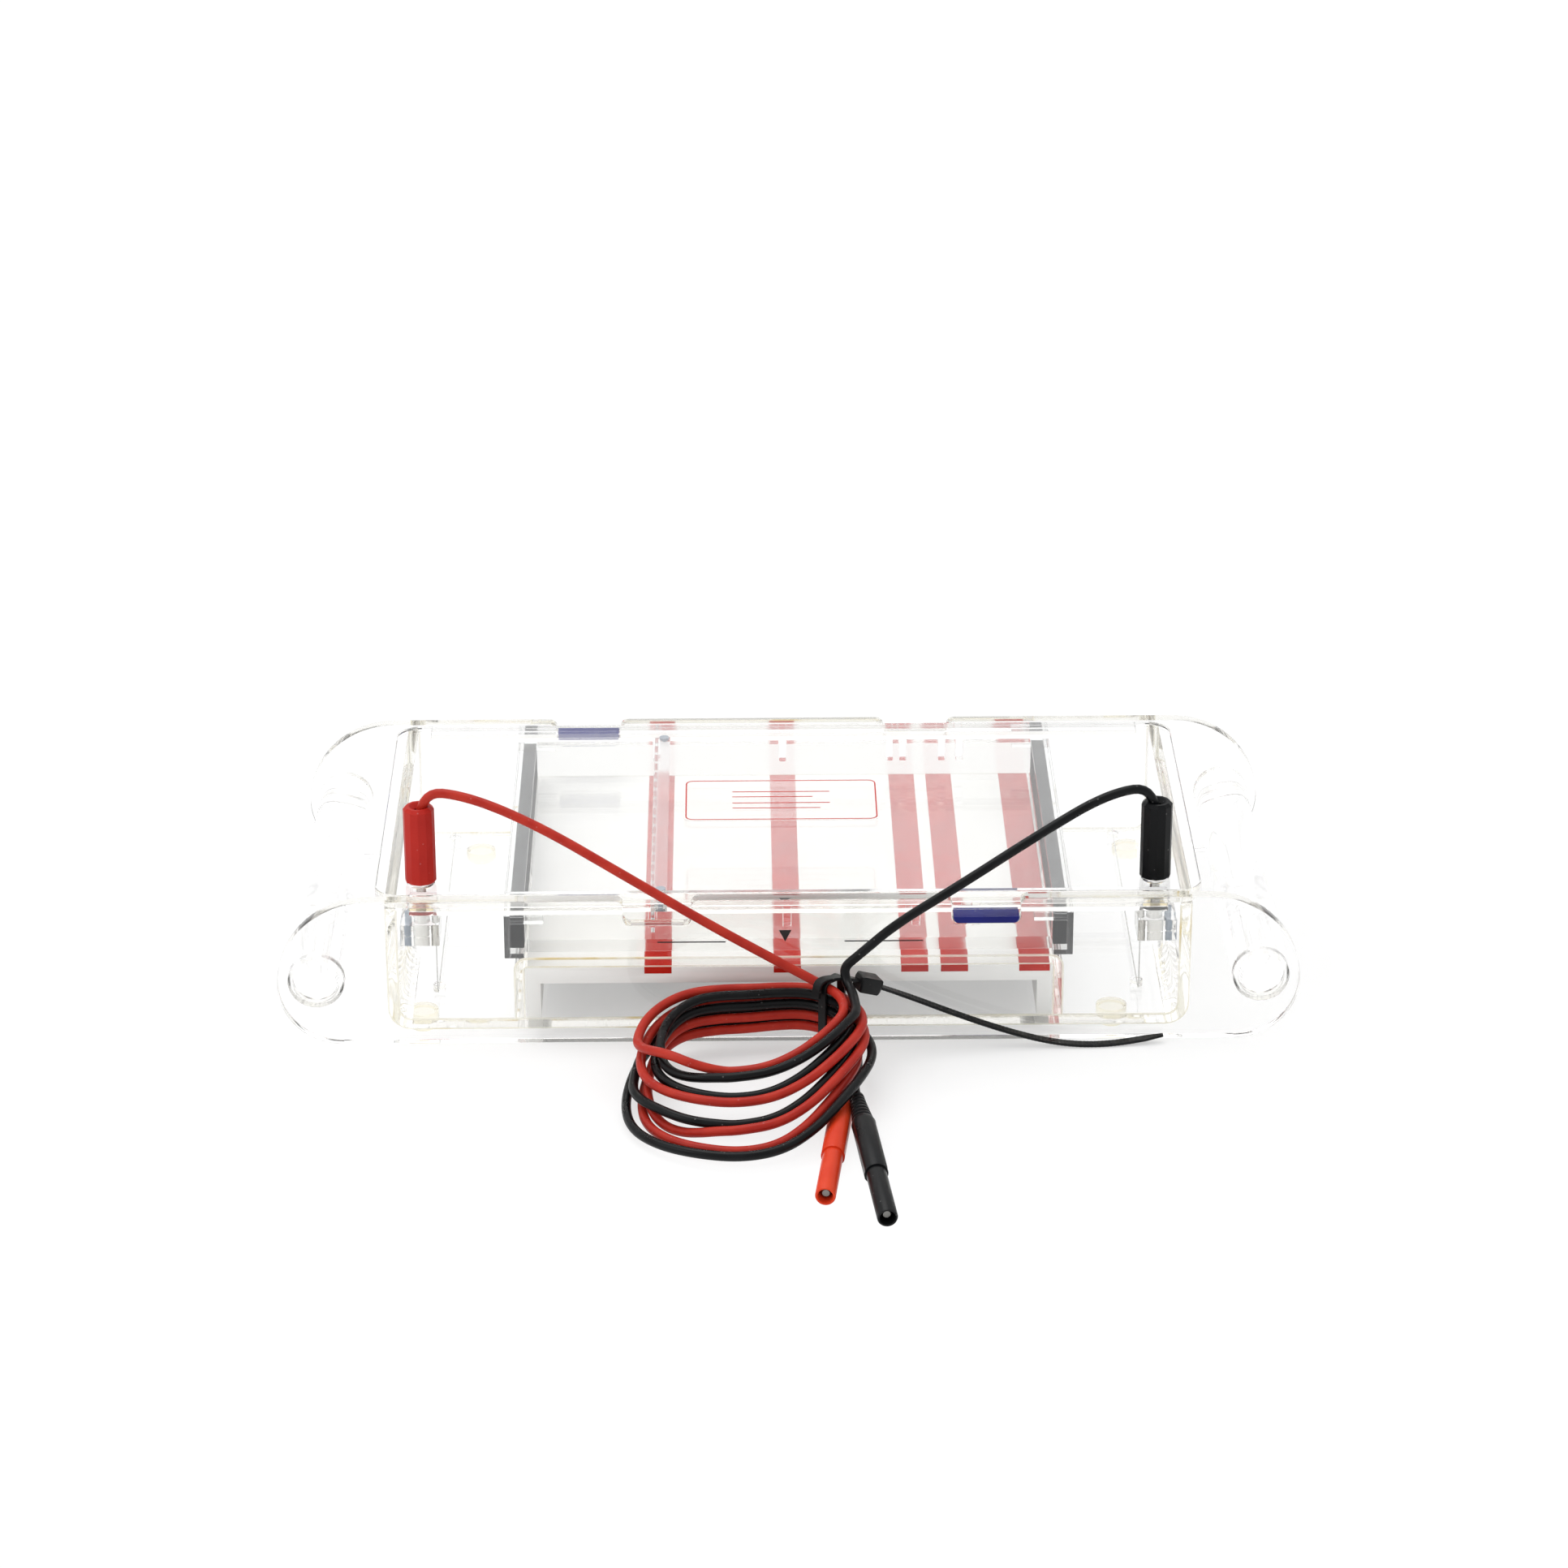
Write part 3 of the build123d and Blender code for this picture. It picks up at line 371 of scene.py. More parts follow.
def rounded_rectangle(half_size, radius, steps=8):
    """Corner centre + radius (cos a, sin a), a quarter turn at each corner, and the normals."""
    step = np.arange(4 * steps)
    turn = step // steps * (np.pi / 2) + step % steps / (steps - 1) * (np.pi / 2)
    normal = np.stack([np.cos(turn), np.sin(turn)], axis=-1)
    sign = np.array([(1, 1), (-1, 1), (-1, -1), (1, -1)])[step // steps]
    return sign * (np.array(half_size) - radius) + radius * normal, normal


print("helpers:", [helper.__name__ for helper in (strap_rings, smooth_path, rounded_rectangle)])

# %% [markdown]
# The cable tie is a flat strap. It makes a loop round the hank, passes through its head and
# leaves as a loose tail, which sinks to the table. The loop is a rounded rectangle, so a point on
# it is the centre of its corner plus radius (cos a, sin a), and the same vector points outwards.

# %% Cable tie
strap_width, strap_thickness = 4.0, 1.3
middle = np.array([16.8, -100.55, 21.1])
travel = unit((0.72, -0.69, 0))
loop_plane = np.array([np.cross((0, 0, 1), travel), (0, 0, 1)])
flat_loop, normal = rounded_rectangle((5.46, 12.35), 2.6)
loop = middle + flat_loop @ loop_plane
loop_rings = strap_rings(loop, travel, normal @ loop_plane, strap_width, strap_thickness)
over = smooth_path([(10.5, -105.9, 28), (10.6, -105.8, 32.5), (12.5, -104.5, 34.9),
                    (18, -101.8, 34.6), (24, -100.2, 33.4), (30, -99.4, 31.4)], 0.5)
along, _, _ = sweep_frames(over, np.array([0, 0, 1.0]))
over_aside = unit(travel - np.sum(along * travel, axis=1)[:, None] * along)
over_rings = strap_rings(over, over_aside, np.cross(over_aside, along), strap_width,
                         strap_thickness)
tail_step = 0.3
tail = smooth_path([(33, -98.4, 29.6), (38, -96.6, 27.0), (44, -95.2, 24.0), (52, -94.4, 20.4),
                    (64, -94.2, 15.2), (80, -94.4, 9.0), (96, -94.8, 3.9), (110, -95.4, 1.2),
                    (124, -95.6, 0.75), (138, -93.4, 1.4), (149, -92.3, 3.2)], tail_step)
_, aside, above = sweep_frames(tail, np.array([0, 0, 1.0]))
left = tail_step * (len(tail) - 1 - np.arange(len(tail)))
tip_length, ridge_pitch = 12, 1.5
ridged = (np.sin(2 * np.pi * left / ridge_pitch) > 0) * (left > tip_length)
tail_width = 3.9 * np.clip(0.4 + left / tip_length, 0, 1)
tail_rings = strap_rings(tail, aside, above, tail_width, 1.05 + 0.12 * ridged)
head_way = unit(np.array([0.86, 0.36, -0.36]))
head_steps = np.array([-4.9, -4.5, -3.9, 3.6, 4.3, 4.8, 5.0])[:, None]
head_line = np.array([31.2, -99.2, 30.6]) + head_steps * head_way
head_side = unit(np.cross(head_way, (0, 0, 1)))
head_size = np.array([0.86, 0.96, 1, 1, 0.9, 0.78, 0.66])
head_width, head_thickness = 7.6, 6.6
head_rings = strap_rings(head_line, head_side, np.cross(head_side, head_way),
                         head_width * head_size, head_thickness * head_size)
tie = mesh_from_rings("strap_round_hank", (loop_rings * MM, True),
                      *(rings * MM for rings in (over_rings, tail_rings, head_rings)))
print("cable tie:", len(tie.data.polygons), "faces, tail", round(length_of(tail)), "mm")

# %% [markdown]
# The end plates are glued to the cut ends of the trough and the platform. Dried glue shows as a
# thin cream line along one side of the joint and as a bead in the corner on the other. Both follow
# a U in the XZ plane: an upright, a quarter circle centre + radius (cos a, sin a), and its mirror
# image.

# %% Glue lines
def u_profile(half, end, turn, radius, y):
    """Points of a U that opens towards its end height, and the normals that point out of it."""
    side = 1 if end > turn else -1
    angle = np.linspace(0, np.pi / 2, 7)
    normal = np.vstack([(1, 0), np.stack([np.cos(angle), -side * np.sin(angle)], axis=-1)])
    place = np.array([half - radius, turn + side * radius]) + radius * normal
    place[0, 1] = end
    flat = [np.vstack([line, line[::-1] * np.array([-1, 1])]) for line in (place, normal)]
    return [np.insert(line, 1, depth, axis=1) for line, depth in zip(flat, (y, 0))]


plate_faces = (-84.0, 84.0)  # Y of the end plates' inner faces
thin_line, bead = (0.6, 0.03), (0.8, 0.9)  # width and thickness
glue_profiles = [  # half width, end height, turning height, corner radius, section
    (159.3, 58.3, 5.4, 9.1, thin_line), (105.3, 9.8, 32.4, 1.4, thin_line),
    (155.2, 57.5, 9.5, 5.0, bead), (108.9, 10.0, 36.0, 5.0, bead),
]
shells = []
for y in plate_faces:
    for half, end, turn, radius, section in glue_profiles:
        path, normal = u_profile(half, end, turn, radius, y)
        shells.append(strap_rings(path, normal, np.array([0, 1.0, 0]), *section) * MM)
glue_lines = mesh_from_rings("glue_lines", *shells)
print("glue lines:", len(shells), "shells")

# %% [markdown]
# The lid carries a clear film label with a red print: a rounded border and four plain ruled
# lines. A picture on the film could show them, but bands a tenth of a millimetre high stay sharp
# from close by.

# %% Print on the label
ink_height, ink_thickness = 63.09, 0.1
upwards = np.array([0, 0, 1.0])
flat, normal = rounded_rectangle((39.0, 19.0), 3.0)
border = np.insert(flat + np.array([-2.0, 5.0]), 2, ink_height, axis=1)
border_rings = strap_rings(border, np.insert(normal, 2, 0, axis=1), upwards, 0.55, ink_thickness)
rules = []
for x, y, length in ((-22, 13, 40), (-22, 8, 33), (-22, 2, 40), (-22, -3, 36)):
    rule = np.array([(x, y, ink_height), (x + length, y, ink_height)], float)
    rules.append(strap_rings(rule, np.array([0, 1.0, 0]), upwards, 0.6, ink_thickness) * MM)
label_print = mesh_from_rings("label_print", (border_rings * MM, True), *rules)
print("label print:", len(label_print.data.polygons), "faces")

# %% [markdown]
# Light and finishes are trees of nodes. They could be linked by hand in the editor, but a few
# helpers keep the steps short: each makes one node, sets its values and gives back its output.

# %% Node helpers
def tree_of(owner):
    """The empty node tree of a material or world."""
    owner.use_nodes = True
    owner.node_tree.nodes.clear()
    return owner.node_tree


def place_node(tree, kind, links=None, **settings):
    """A node with its settings and, by socket name or number, its values or incoming links."""
    node = tree.nodes.new(kind)
    for key, value in settings.items():
        setattr(node, key, value)
    for key, value in (links or {}).items():
        if isinstance(value, bpy.types.NodeSocket):
            tree.links.new(value, node.inputs[key])
        else:
            node.inputs[key].default_value = value
    return node


def math_node(tree, operation, first, second=0.0):
    """Output of one Math node."""
    return place_node(tree, "ShaderNodeMath", {0: first, 1: second}, operation=operation).outputs[0]


def mixed_colour(tree, factor, first, second):
    """Output of a colour Mix node."""
    links = {"Factor": factor, 6: first, 7: second}
    return place_node(tree, "ShaderNodeMix", links, data_type="RGBA").outputs[2]


def ranged(tree, value, low, high, to_low=0.0, to_high=1.0):
    """Output of a Map Range node, clamped and smooth."""
    links = {0: value, 1: low, 2: high, 3: to_low, 4: to_high}
    return place_node(tree, "ShaderNodeMapRange", links, interpolation_type="SMOOTHSTEP").outputs[0]


def mixed_shader(tree, factor, first, second):
    """Output of a Mix Shader node."""
    return place_node(tree, "ShaderNodeMixShader", {0: factor, 1: first, 2: second}).outputs[0]


node_helpers = (tree_of, place_node, math_node, mixed_colour, ranged, mixed_shader)
print("helpers:", [helper.__name__ for helper in node_helpers])

# %% [markdown]
# The picture is a packshot: a white table that runs up into a white background. Clear acrylic
# shows only by what it bends and mirrors, so the world is white behind the object and greyer in
# front, as in a studio. In an evenly white world the sheets would almost vanish. Rays that have
# passed through a sheet find the world a little brighter than mirrored rays do, which makes up
# for the light that each sheet takes.

# %% World
white = (1, 1, 1, 1)
front_end, back_start = -0.35, 0.35  # Y of the ray's direction
above_start, above_full = 0.55, 0.95  # Z of the ray's direction
mirror_front, mirror_back, mirror_above = 0.7, 0.95, 0.8
bent_front, bent_back, bent_above = 1.0, 1.35, 1.25
filling_strength = 0.72
world = bpy.data.worlds.new("studio")
bpy.context.scene.world = world
tree = tree_of(world)
rays = place_node(tree, "ShaderNodeLightPath")
direction = place_node(tree, "ShaderNodeTexCoord").outputs["Generated"]
parts = place_node(tree, "ShaderNodeSeparateXYZ", {0: direction})
behind = ranged(tree, parts.outputs["Y"], front_end, back_start)
above = ranged(tree, parts.outputs["Z"], above_start, above_full)
mirrored = math_node(tree, "MAXIMUM", ranged(tree, behind, 0, 1, mirror_front, mirror_back),
                     ranged(tree, above, 0, 1, 0, mirror_above))
bent = math_node(tree, "MAXIMUM", ranged(tree, behind, 0, 1, bent_front, bent_back),
                 ranged(tree, above, 0, 1, 0, bent_above))
through = math_node(tree, "MULTIPLY", bent, rays.outputs["Is Transmission Ray"])
seen = math_node(tree, "MAXIMUM", rays.outputs["Is Glossy Ray"],
                 rays.outputs["Is Transmission Ray"])
strengths = (math_node(tree, "MAXIMUM", mirrored, through), 1.0, filling_strength)
shown, plain, filling = (
    place_node(tree, "ShaderNodeBackground", {"Color": white, "Strength": strength}).outputs[0]
    for strength in strengths)
lit = mixed_shader(tree, seen, filling, shown)
both = mixed_shader(tree, rays.outputs["Is Camera Ray"], lit, plain)
place_node(tree, "ShaderNodeOutputWorld", {0: both})
print("world nodes:", len(tree.nodes))

# %% [markdown]
# Two large square lamps light the chamber from above and from the left. Small ones would throw
# hard shadows, and the shadow under this tank is faint and soft.

# %% Lamps
def soft_lamp(name, place, target, size, power):
    """A square area lamp at a place, turned towards a target."""
    data = bpy.data.lights.new(name, "AREA")
    data.size = size
    data.energy = power
    lamp = bpy.data.objects.new(name, data)
    bpy.context.collection.objects.link(lamp)
    back = unit(np.subtract(place, target))
    aside = unit(np.cross((0, 1, 0), back))
    turn = np.eye(4)
    turn[:3, 0], turn[:3, 1], turn[:3, 2], turn[:3, 3] = aside, np.cross(back, aside), back, place
    lamp.matrix_world = Matrix(turn.tolist())


soft_lamp("lamp_over", (-0.35, 0.25, 1.5), (0, -0.05, 0), size=1.1, power=9.0)
soft_lamp("lamp_left", (-1.3, -0.7, 0.9), (0, -0.05, 0.02), size=0.7, power=3.5)

# %% [markdown]
# The table is a sheet of white paper. It keeps the tank's soft shadow close by. Further out it
# turns into a plain white glow, so that it runs into the background without an edge. Only camera,
# mirror and glass rays see the glow, so it doesn't light the matt surfaces of the object.

# %% Floor
reach = 3.0
oval = (0.45, 1, 1)  # the glow sets in further out along the tank than before it
glow_start, glow_full, glow_least = 0.07, 0.24, 0.35
paper_tones = (0.955, 0.955, 0.95, 1), (0.975, 0.975, 0.975, 1)
floor_mesh = bpy.data.meshes.new("floor")
floor_corners = [(-reach, -reach, 0), (reach, -reach, 0), (reach, reach, 0), (-reach, reach, 0)]
floor_mesh.from_pydata(floor_corners, [], [(0, 1, 2, 3)])
floor = bpy.data.objects.new("floor", floor_mesh)
bpy.context.collection.objects.link(floor)
white_table = bpy.data.materials.new("white_table")
tree = tree_of(white_table)
rays = place_node(tree, "ShaderNodeLightPath")
spot = place_node(tree, "ShaderNodeTexCoord").outputs["Object"]
flattened = place_node(tree, "ShaderNodeVectorMath", {0: spot, 1: oval},
                       operation="MULTIPLY").outputs[0]
away = place_node(tree, "ShaderNodeVectorMath", {0: flattened}, operation="LENGTH").outputs["Value"]
paper = place_node(tree, "ShaderNodeTexNoise", {"Vector": spot, "Scale": 60.0, "Detail": 3.0})
tone = mixed_colour(tree, paper.outputs["Fac"], *paper_tones)
matt = place_node(tree, "ShaderNodeBsdfDiffuse", {"Color": tone}).outputs[0]
glow = place_node(tree, "ShaderNodeEmission", {"Color": white, "Strength": 1.05}).outputs[0]
whitened = ranged(tree, away, glow_start, glow_full, glow_least, 1.0)
seen = math_node(tree, "MAXIMUM", rays.outputs["Is Camera Ray"],
                 math_node(tree, "MAXIMUM", rays.outputs["Is Glossy Ray"],
                           rays.outputs["Is Transmission Ray"]))
top = mixed_shader(tree, math_node(tree, "MULTIPLY", whitened, seen), matt, glow)
place_node(tree, "ShaderNodeOutputMaterial", {0: top})
floor_mesh.materials.append(white_table)
print("floor:", 2 * reach, "m wide")

# %% [markdown]
# A ray crosses many sheets before it leaves the tank, and each has two faces, so it needs far
# more bounces than it would on an opaque object. With too few, the deepest corners turn black.

# %% Bounces and colour
scene = bpy.context.scene
scene.view_settings.view_transform = "Standard"
scene.cycles.max_bounces = 48
scene.cycles.transmission_bounces = 48
scene.cycles.glossy_bounces = 24
scene.cycles.transparent_max_bounces = 40
scene.cycles.caustics_refractive = False
scene.cycles.caustics_reflective = False
scene.cycles.use_denoising = True
print("bounces:", scene.cycles.max_bounces)

# %% [markdown]
# Plastics are never one flat colour: moulding leaves a faint mottle, a fine grain and small
# marks. These effects are the same for every plastic here, so each is a node group that gives
# masks and heights, and a material decides what colour or roughness they change.

# %% Group helpers
def new_group(name, inputs, outputs):
    """A shader node group with these inputs and float outputs, and its input and output nodes."""
    group = bpy.data.node_groups.new(name, "ShaderNodeTree")
    for label, value in inputs:
        kind = "NodeSocketVector" if isinstance(value, tuple) else "NodeSocketFloat"
        group.interface.new_socket(label, in_out="INPUT", socket_type=kind).default_value = value
    for label in outputs:
        group.interface.new_socket(label, in_out="OUTPUT", socket_type="NodeSocketFloat")
    return group, group.nodes.new("NodeGroupInput"), group.nodes.new("NodeGroupOutput")


def use_group(tree, group, **values):
    """A group node with its input values."""
    return place_node(tree, "ShaderNodeGroup", values, node_tree=group)


print("helpers:", [helper.__name__ for helper in (new_group, use_group)])

# %% [markdown]
# Three effects are enough. The moulded skin is one fine and one coarse noise. Handling marks are
# noise stretched into hairs in two directions, with small round specks of dust. The cut edge is
# told by the direction of a face: the broad faces of a flat sheet look along one axis, while the
# ends of a bent sheet or a tube are the ones that do.

# %% Shared effects
moulded, given, result = new_group("moulded_skin", [("Grain", 900.0), ("Mottle", 45.0)],
                                   ["Height", "Tone"])
spot = place_node(moulded, "ShaderNodeTexCoord").outputs["Object"]
grain, cloud = (
    place_node(moulded, "ShaderNodeTexNoise", {
        "Vector": spot, "Scale": given.outputs[label], "Detail": detail}).outputs["Fac"]
    for label, detail in (("Grain", 2.0), ("Mottle", 4.0)))
moulded.links.new(grain, result.inputs["Height"])
moulded.links.new(ranged(moulded, cloud, 0.3, 0.7), result.inputs["Tone"])

marks, given, result = new_group("handling_marks", [("Amount", 0.5)], ["Marks", "Dust"])
spot = place_node(marks, "ShaderNodeTexCoord").outputs["Object"]
hairs = []
for angle, stretch in ((0.6, 22.0), (-0.9, 30.0)):
    turned = place_node(marks, "ShaderNodeMapping", {
        "Vector": spot, "Rotation": (0.3, 0.2, angle), "Scale": (stretch, 1, stretch)})
    hair = place_node(marks, "ShaderNodeTexNoise", {
        "Vector": turned.outputs[0], "Scale": 26.0, "Detail": 1.0})
    hairs.append(ranged(marks, hair.outputs["Fac"], 0.66, 0.74))
specks = place_node(marks, "ShaderNodeTexVoronoi", {"Vector": spot, "Scale": 260.0})
masks = {"Marks": math_node(marks, "MAXIMUM", *hairs),
         "Dust": ranged(marks, specks.outputs["Distance"], 0.05, 0.12, 1.0, 0.0)}
for label, mask in masks.items():
    scaled = math_node(marks, "MULTIPLY", mask, given.outputs["Amount"])
    marks.links.new(scaled, result.inputs[label])

edges, given, result = new_group("cut_edge", [("Axis", (0.0, 1.0, 0.0)), ("Broad", 0.0)],
                                 ["Edge"])
facing = place_node(edges, "ShaderNodeNewGeometry").outputs["Normal"]
along = place_node(edges, "ShaderNodeVectorMath", {0: facing, 1: given.outputs["Axis"]},
                   operation="DOT_PRODUCT")
turned = ranged(edges, math_node(edges, "ABSOLUTE", along.outputs["Value"]), 0.4, 0.8)
away = math_node(edges, "ABSOLUTE", math_node(edges, "SUBTRACT", turned, given.outputs["Broad"]))
edges.links.new(away, result.inputs["Edge"])
print("groups:", [group.name for group in bpy.data.node_groups])

# %% [markdown]
# The liner, the inks, the plug handles, the rubber, the jackets and the metals are opaque. Each
# could have a tree of its own, but they differ only in a few numbers. So one function builds the
# tree, and a finish is one call: two tones, a range of roughness, and how strongly the grain and
# the marks show.

# %% Opaque finishes
dust_colour = (0.75, 0.74, 0.72, 1)
dust_share, mark_roughness, grain_strength = 0.35, 0.15, 0.25


def srgb(code):
    """Linear colour, with alpha 1, of a six-digit hex code."""
    value = np.array([int(code[i:i + 2], 16) for i in (0, 2, 4)]) / 255
    linear = np.where(value <= 0.04045, value / 12.92, ((value + 0.055) / 1.055) ** 2.4)
    return (*linear.tolist(), 1)


def opaque(name, deep, pale, rough, grain=900.0, mottle=45.0, relief=0.02, metal=0.0, marked=0.3,
           gloss=0.5):
    """A surface whose colour drifts between two tones, with a fine grain and light marks."""
    material = bpy.data.materials.new(name)
    tree = tree_of(material)
    skin = use_group(tree, moulded, Grain=grain, Mottle=mottle)
    worn = use_group(tree, marks, Amount=marked)
    tone = mixed_colour(tree, skin.outputs["Tone"], srgb(deep), srgb(pale))
    dust = math_node(tree, "MULTIPLY", worn.outputs["Dust"], dust_share)
    smooth = ranged(tree, skin.outputs["Tone"], 0, 1, *rough)
    scratched = math_node(tree, "MULTIPLY", worn.outputs["Marks"], mark_roughness)
    bump = place_node(tree, "ShaderNodeBump", {
        "Height": skin.outputs["Height"], "Strength": grain_strength, "Distance": relief * MM})
    surface = place_node(tree, "ShaderNodeBsdfPrincipled", {
        "Base Color": mixed_colour(tree, dust, tone, dust_colour),
        "Roughness": math_node(tree, "ADD", smooth, scratched),
        "Metallic": metal, "Specular IOR Level": gloss, "Normal": bump.outputs[0]})
    place_node(tree, "ShaderNodeOutputMaterial", {0: surface.outputs[0]})
    return material


white_liner = opaque("white_liner_finish", "F1F1EE", "F8F8F5", (0.32, 0.42), mottle=18, marked=0.2)
red_strip = opaque("red_strip_finish", "B41A0E", "C42414", (0.35, 0.5), mottle=60, gloss=0.1)
red_ink = opaque("red_ink_finish", "C4261C", "D0352A", (0.4, 0.5), mottle=300)
printed_black = opaque("printed_black_finish", "141414", "222222", (0.4, 0.6), mottle=300)
blue_grey = opaque("blue_grey_finish", "7E8A99", "97A2AF", (0.3, 0.45))
gasket_rubber = opaque("gasket_rubber_finish", "2A2C2E", "3C3E40", (0.55, 0.75), grain=500,
                       relief=0.06)
blue_tab = opaque("blue_tab_finish", "0B1060", "131A76", (0.1, 0.2), marked=0.5, gloss=0.2)
red_handle = opaque("red_handle_finish", "AE221B", "BC2B22", (0.4, 0.52), grain=600, relief=0.03,
                    gloss=0.16)
black_handle = opaque("black_handle_finish", "08090A", "0F1012", (0.3, 0.42), grain=600,
                      relief=0.03, gloss=0.14)
red_safety = opaque("red_safety_finish", "DB3A1C", "E64A26", (0.28, 0.4), grain=700, gloss=0.2)
black_safety = opaque("black_safety_finish", "0B0C0D", "141517", (0.26, 0.38), grain=700,
                      gloss=0.2)
black_nylon = opaque("black_nylon_finish", "0E0F10", "17191A", (0.3, 0.45), grain=500,
                     relief=0.04, gloss=0.2)
red_lead = opaque("red_lead_finish", "AD271C", "BC3324", (0.34, 0.46), grain=420, mottle=120,
                  relief=0.03, gloss=0.2)
black_lead = opaque("black_lead_finish", "08090A", "101214", (0.26, 0.38), grain=420, mottle=120,
                    relief=0.03, gloss=0.18)
nickel = opaque("nickel_finish", "B9B8B4", "CFCECA", (0.16, 0.26), metal=1.0, relief=0.01)
dull_steel = opaque("dull_steel_finish", "7C7B78", "8F8E8B", (0.35, 0.45), metal=1.0, relief=0.01)
platinum = opaque("platinum_finish", "BDBDBB", "D2D2D0", (0.2, 0.3), metal=1.0, relief=0.005)
print("materials so far:", len(bpy.data.materials))

# %% [markdown]
# Clear acrylic is a Principled surface with full transmission and an index of 1.49. Light from
# the lamps has to reach what stands inside the tank, so shadow and diffuse rays meet a nearly
# clear Transparent shader instead. That lets the light in as a real sheet does, without the noise
# of caustics. Sawn and glued edges hold more of the sheet's own colour, so they get a warm tint.

# %% Clear finishes
acrylic_index = 1.49
passing_colour = (0.996, 0.996, 0.994, 1)
sheet_marks, sheet_scratches = 0.6, 0.10
wave_grain, wave_mottle, wave_strength, wave_height = 120.0, 9.0, 0.2, 0.02 * MM


def clear(name, axis, broad, body="FFFFFF", edge="FCFBF7", rough=0.012, frost=0.08, haze=0.0):
    """Clear sheet whose cut edges, told by the face direction, are warmer than its broad faces."""
    material = bpy.data.materials.new(name)
    tree = tree_of(material)
    cut = use_group(tree, edges, Axis=axis, Broad=broad)
    worn = use_group(tree, marks, Amount=sheet_marks)
    skin = use_group(tree, moulded, Grain=wave_grain, Mottle=wave_mottle)
    tint = srgb(body)
    if edge != body:
        tint = mixed_colour(tree, cut.outputs["Edge"], srgb(body), srgb(edge))
    scratched = math_node(tree, "MULTIPLY", worn.outputs["Marks"], sheet_scratches)
    frosted = math_node(tree, "MULTIPLY", cut.outputs["Edge"], frost)
    roughness = math_node(tree, "ADD", math_node(tree, "ADD", rough, scratched), frosted)
    wave = place_node(tree, "ShaderNodeBump", {
        "Height": skin.outputs["Tone"], "Strength": wave_strength, "Distance": wave_height})
    glass = place_node(tree, "ShaderNodeBsdfPrincipled", {
        "Base Color": tint, "Roughness": roughness, "Normal": wave.outputs[0],
        "IOR": acrylic_index, "Transmission Weight": 1.0}).outputs[0]
    film = place_node(tree, "ShaderNodeBsdfDiffuse", {"Color": white}).outputs[0]
    passing = place_node(tree, "ShaderNodeBsdfTransparent", {"Color": passing_colour}).outputs[0]
    rays = place_node(tree, "ShaderNodeLightPath")
    light = math_node(tree, "MAXIMUM", rays.outputs["Is Shadow Ray"],
                      rays.outputs["Is Diffuse Ray"])
    either = mixed_shader(tree, light, mixed_shader(tree, haze, glass, film), passing)
    place_node(tree, "ShaderNodeOutputMaterial", {0: either})
    return material


clear_plate = clear("clear_plate", (0, 1, 0), 1.0)
clear_bent = clear("clear_bent_sheet", (0, 1, 0), 0.0, frost=0.02)
clear_flat = clear("clear_flat_sheet", (0, 0, 1), 1.0)
clear_tube = clear("clear_tube", (0, 1, 0), 0.0, frost=0.15)
clear_tray = clear("clear_tray_sheet", (0, 0, 1), 1.0, edge="FAFAF8", rough=0.03, haze=0.02)
clear_gate = clear("clear_gate_sheet", (0, 1, 0), 0.0, body="FBFCFC", edge="F8F9F9")
clear_comb = clear("clear_comb_sheet", (1, 0, 0), 1.0, body="FBFCFC", edge="F6F8F8")
clear_feet = clear("clear_foot", (0, 0, 1), 1.0, body="F6F0DA", edge="F0E8C8", rough=0.2)
label_film = clear("clear_film", (0, 0, 1), 1.0, body="FDFBFA", edge="FDFBFA", rough=0.05, haze=0.1)
print("materials with the sheets:", len(bpy.data.materials))

# %% [markdown]
# Two finishes need more than a drift of tone. Dried glue is partly clear, cream where it is thin
# and amber where it has pooled. The sockets are pale moulded sleeves with a brass flange, and the
# height above the table tells where the flange begins.

# %% Glue and sockets
dried_glue = bpy.data.materials.new("dried_glue_finish")
tree = tree_of(dried_glue)
spot = place_node(tree, "ShaderNodeTexCoord").outputs["Object"]
pools = place_node(tree, "ShaderNodeTexNoise", {"Vector": spot, "Scale": 38.0, "Detail": 3.0})
pooled = ranged(tree, pools.outputs["Fac"], 0.56, 0.72)
tone = mixed_colour(tree, pooled, srgb("FDFAEC"), srgb("EBD79C"))
cream = place_node(tree, "ShaderNodeBsdfDiffuse", {"Color": tone}).outputs[0]
passing = place_node(tree, "ShaderNodeBsdfTransparent").outputs[0]
cover = ranged(tree, pools.outputs["Fac"], 0.35, 0.7, 0.3, 0.75)
place_node(tree, "ShaderNodeOutputMaterial", {0: mixed_shader(tree, cover, passing, cream)})

flange_start, flange_full = 50.8 * MM, 51.2 * MM
socket_finish = bpy.data.materials.new("socket_finish")
tree = tree_of(socket_finish)
tone = use_group(tree, moulded, Grain=900.0, Mottle=60.0).outputs["Tone"]
spot = place_node(tree, "ShaderNodeTexCoord").outputs["Object"]
height = place_node(tree, "ShaderNodeSeparateXYZ", {0: spot}).outputs["Z"]
flange = ranged(tree, height, flange_start, flange_full)
sleeve = mixed_colour(tree, tone, srgb("EDEDEA"), srgb("F7F7F5"))
brass = mixed_colour(tree, tone, srgb("D8C9A0"), srgb("E6DAB8"))
surface = place_node(tree, "ShaderNodeBsdfPrincipled", {
    "Base Color": mixed_colour(tree, flange, sleeve, brass),
    "Roughness": ranged(tree, tone, 0, 1, 0.25, 0.4), "Metallic": flange})
place_node(tree, "ShaderNodeOutputMaterial", {0: surface.outputs[0]})
print("materials in all:", len(bpy.data.materials))

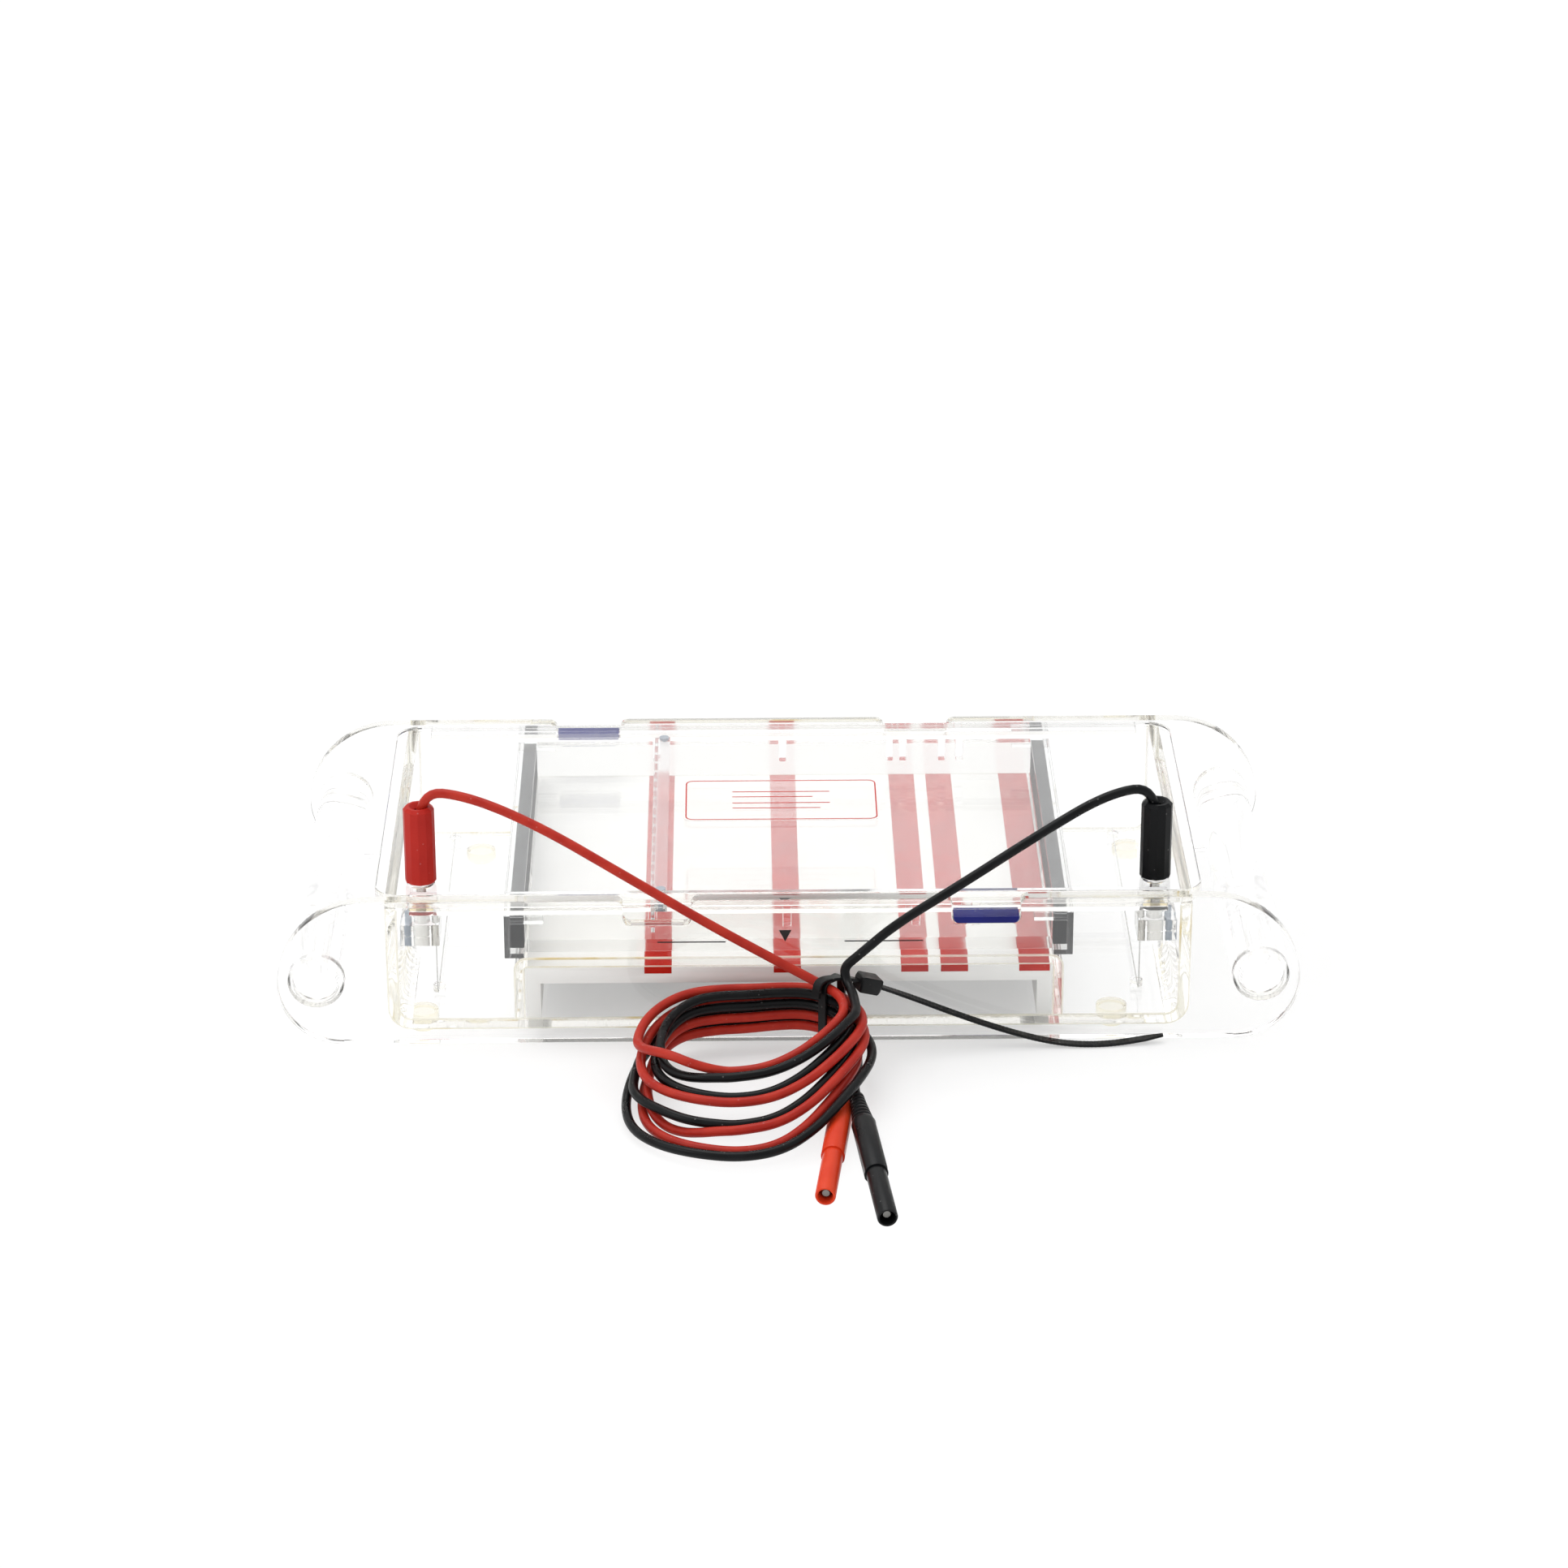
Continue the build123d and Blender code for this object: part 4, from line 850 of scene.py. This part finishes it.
# %% [markdown]
# The CAD nodes arrive with stand-in materials. A finish could be put on each by a line of its
# own, but a dictionary shows at a glance what is made of what. The nodes that are missing from it
# are those that the new leads, plugs and tie take the place of, and the print lists them.

# %% Finishes on the CAD nodes
finish_of = {
    "front_plate": clear_plate, "back_plate": clear_plate, "trough": clear_bent,
    "gel_platform": clear_bent, "handle_tube_left": clear_tube, "handle_tube_right": clear_tube,
    "lid_plate": clear_flat, "lid_strip_front": clear_flat, "lid_strip_back": clear_flat,
    "socket_block_left": clear_flat, "socket_block_right": clear_flat, "wire_posts": clear_flat,
    "gel_tray": clear_tray, "gate_left": clear_gate, "gate_right": clear_gate,
    "comb_blade": clear_comb, "comb_bar": clear_comb, "comb_screws": blue_grey,
    "feet": clear_feet, "label_panel": label_film, "white_underlay": white_liner,
    "red_strips": red_strip, "fill_mark": printed_black, "retaining_pins": blue_grey,
    "terminal_screws": nickel, "socket_left": socket_finish, "socket_right": socket_finish,
    "electrode_wire_left": platinum, "electrode_wire_right": platinum,
    "gate_gasket_left": gasket_rubber, "gate_gasket_right": gasket_rubber,
    "lift_tab_front": blue_tab, "lift_tab_back": blue_tab, "plug_handle_red": red_handle,
    "plug_handle_black": black_handle, "plug_pin_red": nickel, "plug_pin_black": nickel,
    "safety_pin_red": dull_steel, "safety_pin_black": dull_steel,
}
for name, material in finish_of.items():
    for position in range(len(nodes[name].data.materials)):
        nodes[name].data.materials[position] = material
print("dressed:", len(finish_of), "replaced later:", sorted(set(nodes) - set(finish_of)))

# %% [markdown]
# Sheets that are glued together touch in the CAD model, and two glass faces in one plane turn
# black in a render. The mesh of a CAD node stays as it is, so modifiers do the work: Weld
# joins its loose triangles, Displace swells every clear piece by two hundredths of a millimetre,
# and Bevel takes off the sharp edge, as a scraper does on sawn acrylic. A ray then enters the
# second sheet just before it leaves the first, so the joint is as clear as a solvent weld.

# %% Scraped edges
clear_swell = 0.02


def split_edges(piece):
    """Edge Split at edges that turn by more than 35 degrees, so that they shade as edges."""
    split = piece.modifiers.new("split", "EDGE_SPLIT")
    split.split_angle = math.radians(35)


def scraped(piece, width, swell):
    """Weld, planar Decimate, outward Displace, Bevel and Edge Split, in that order."""
    weld = piece.modifiers.new("weld", "WELD")
    weld.merge_threshold = 0.002 * MM
    flat = piece.modifiers.new("flat", "DECIMATE")
    flat.decimate_type = "DISSOLVE"
    flat.angle_limit = math.radians(0.5)
    swollen = piece.modifiers.new("swollen", "DISPLACE")
    swollen.strength = swell * MM
    swollen.mid_level = 0.0
    if width:
        bevel = piece.modifiers.new("bevel", "BEVEL")
        bevel.width = width * MM
        bevel.segments = 2
        bevel.angle_limit = math.radians(50)
    split_edges(piece)


edge_widths = {
    "front_plate": 0.35, "back_plate": 0.35, "trough": 0.25, "gel_platform": 0.25,
    "handle_tube_left": 0.2, "handle_tube_right": 0.2, "lid_plate": 0.35, "lid_strip_front": 0.25,
    "lid_strip_back": 0.25, "socket_block_left": 0.3, "socket_block_right": 0.3, "wire_posts": 0.2,
    "gel_tray": 0.25, "gate_left": 0.15, "gate_right": 0.15, "comb_blade": 0.15, "comb_bar": 0.2,
    "feet": 0.3, "label_panel": 0.0, "white_underlay": 0.25, "red_strips": 0.1,
    "gate_gasket_left": 0.25, "gate_gasket_right": 0.25, "lift_tab_front": 0.3, "lift_tab_back": 0.3,
}
for name, width in edge_widths.items():
    scraped(nodes[name], width, clear_swell if finish_of[name].name.startswith("clear") else 0.0)
print("scraped:", len(edge_widths))

# %% [markdown]
# One end of each lead starts at the lid and its hank lies by the tank. Each lead gets its finish, the
# CAD lead and coil that it takes the place of are hidden, and its transform is applied to its mesh.

# %% Leads in place
for lead, piece in leads.items():
    piece.data.materials.append(red_lead if lead == "red" else black_lead)
    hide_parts(f"lead_{lead}", f"coil_{lead}")
    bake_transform(piece)
print("leads:", {lead: round(length_of(path), 3) for lead, path in paths.items()})

# %% [markdown]
# The other new pieces are stiff or hold still, so each simply rides on one body: the plugs, the
# tie and the glue on the tank, the print on the lid. Smooth shading would blur their corners, so
# their sharp edges are split too.

# %% Plugs, tie, glue and print in place
def fitted(piece, finish, body):
    """Give a new piece its finish and its body, and split its sharp edges."""
    piece.data.materials.append(finish)
    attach(piece, body)
    split_edges(piece)


for lead, piece in safety_plugs.items():
    fitted(piece, red_safety if lead == "red" else black_safety, "tank")
    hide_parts(f"safety_plug_{lead}")
fitted(tie, black_nylon, "tank")
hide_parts("cable_tie")
fitted(glue_lines, dried_glue, "tank")
fitted(label_print, red_ink, "lid")
new_pieces = (*leads.values(), *safety_plugs.values(), tie, glue_lines, label_print)
print("new pieces:", [piece.name for piece in new_pieces])
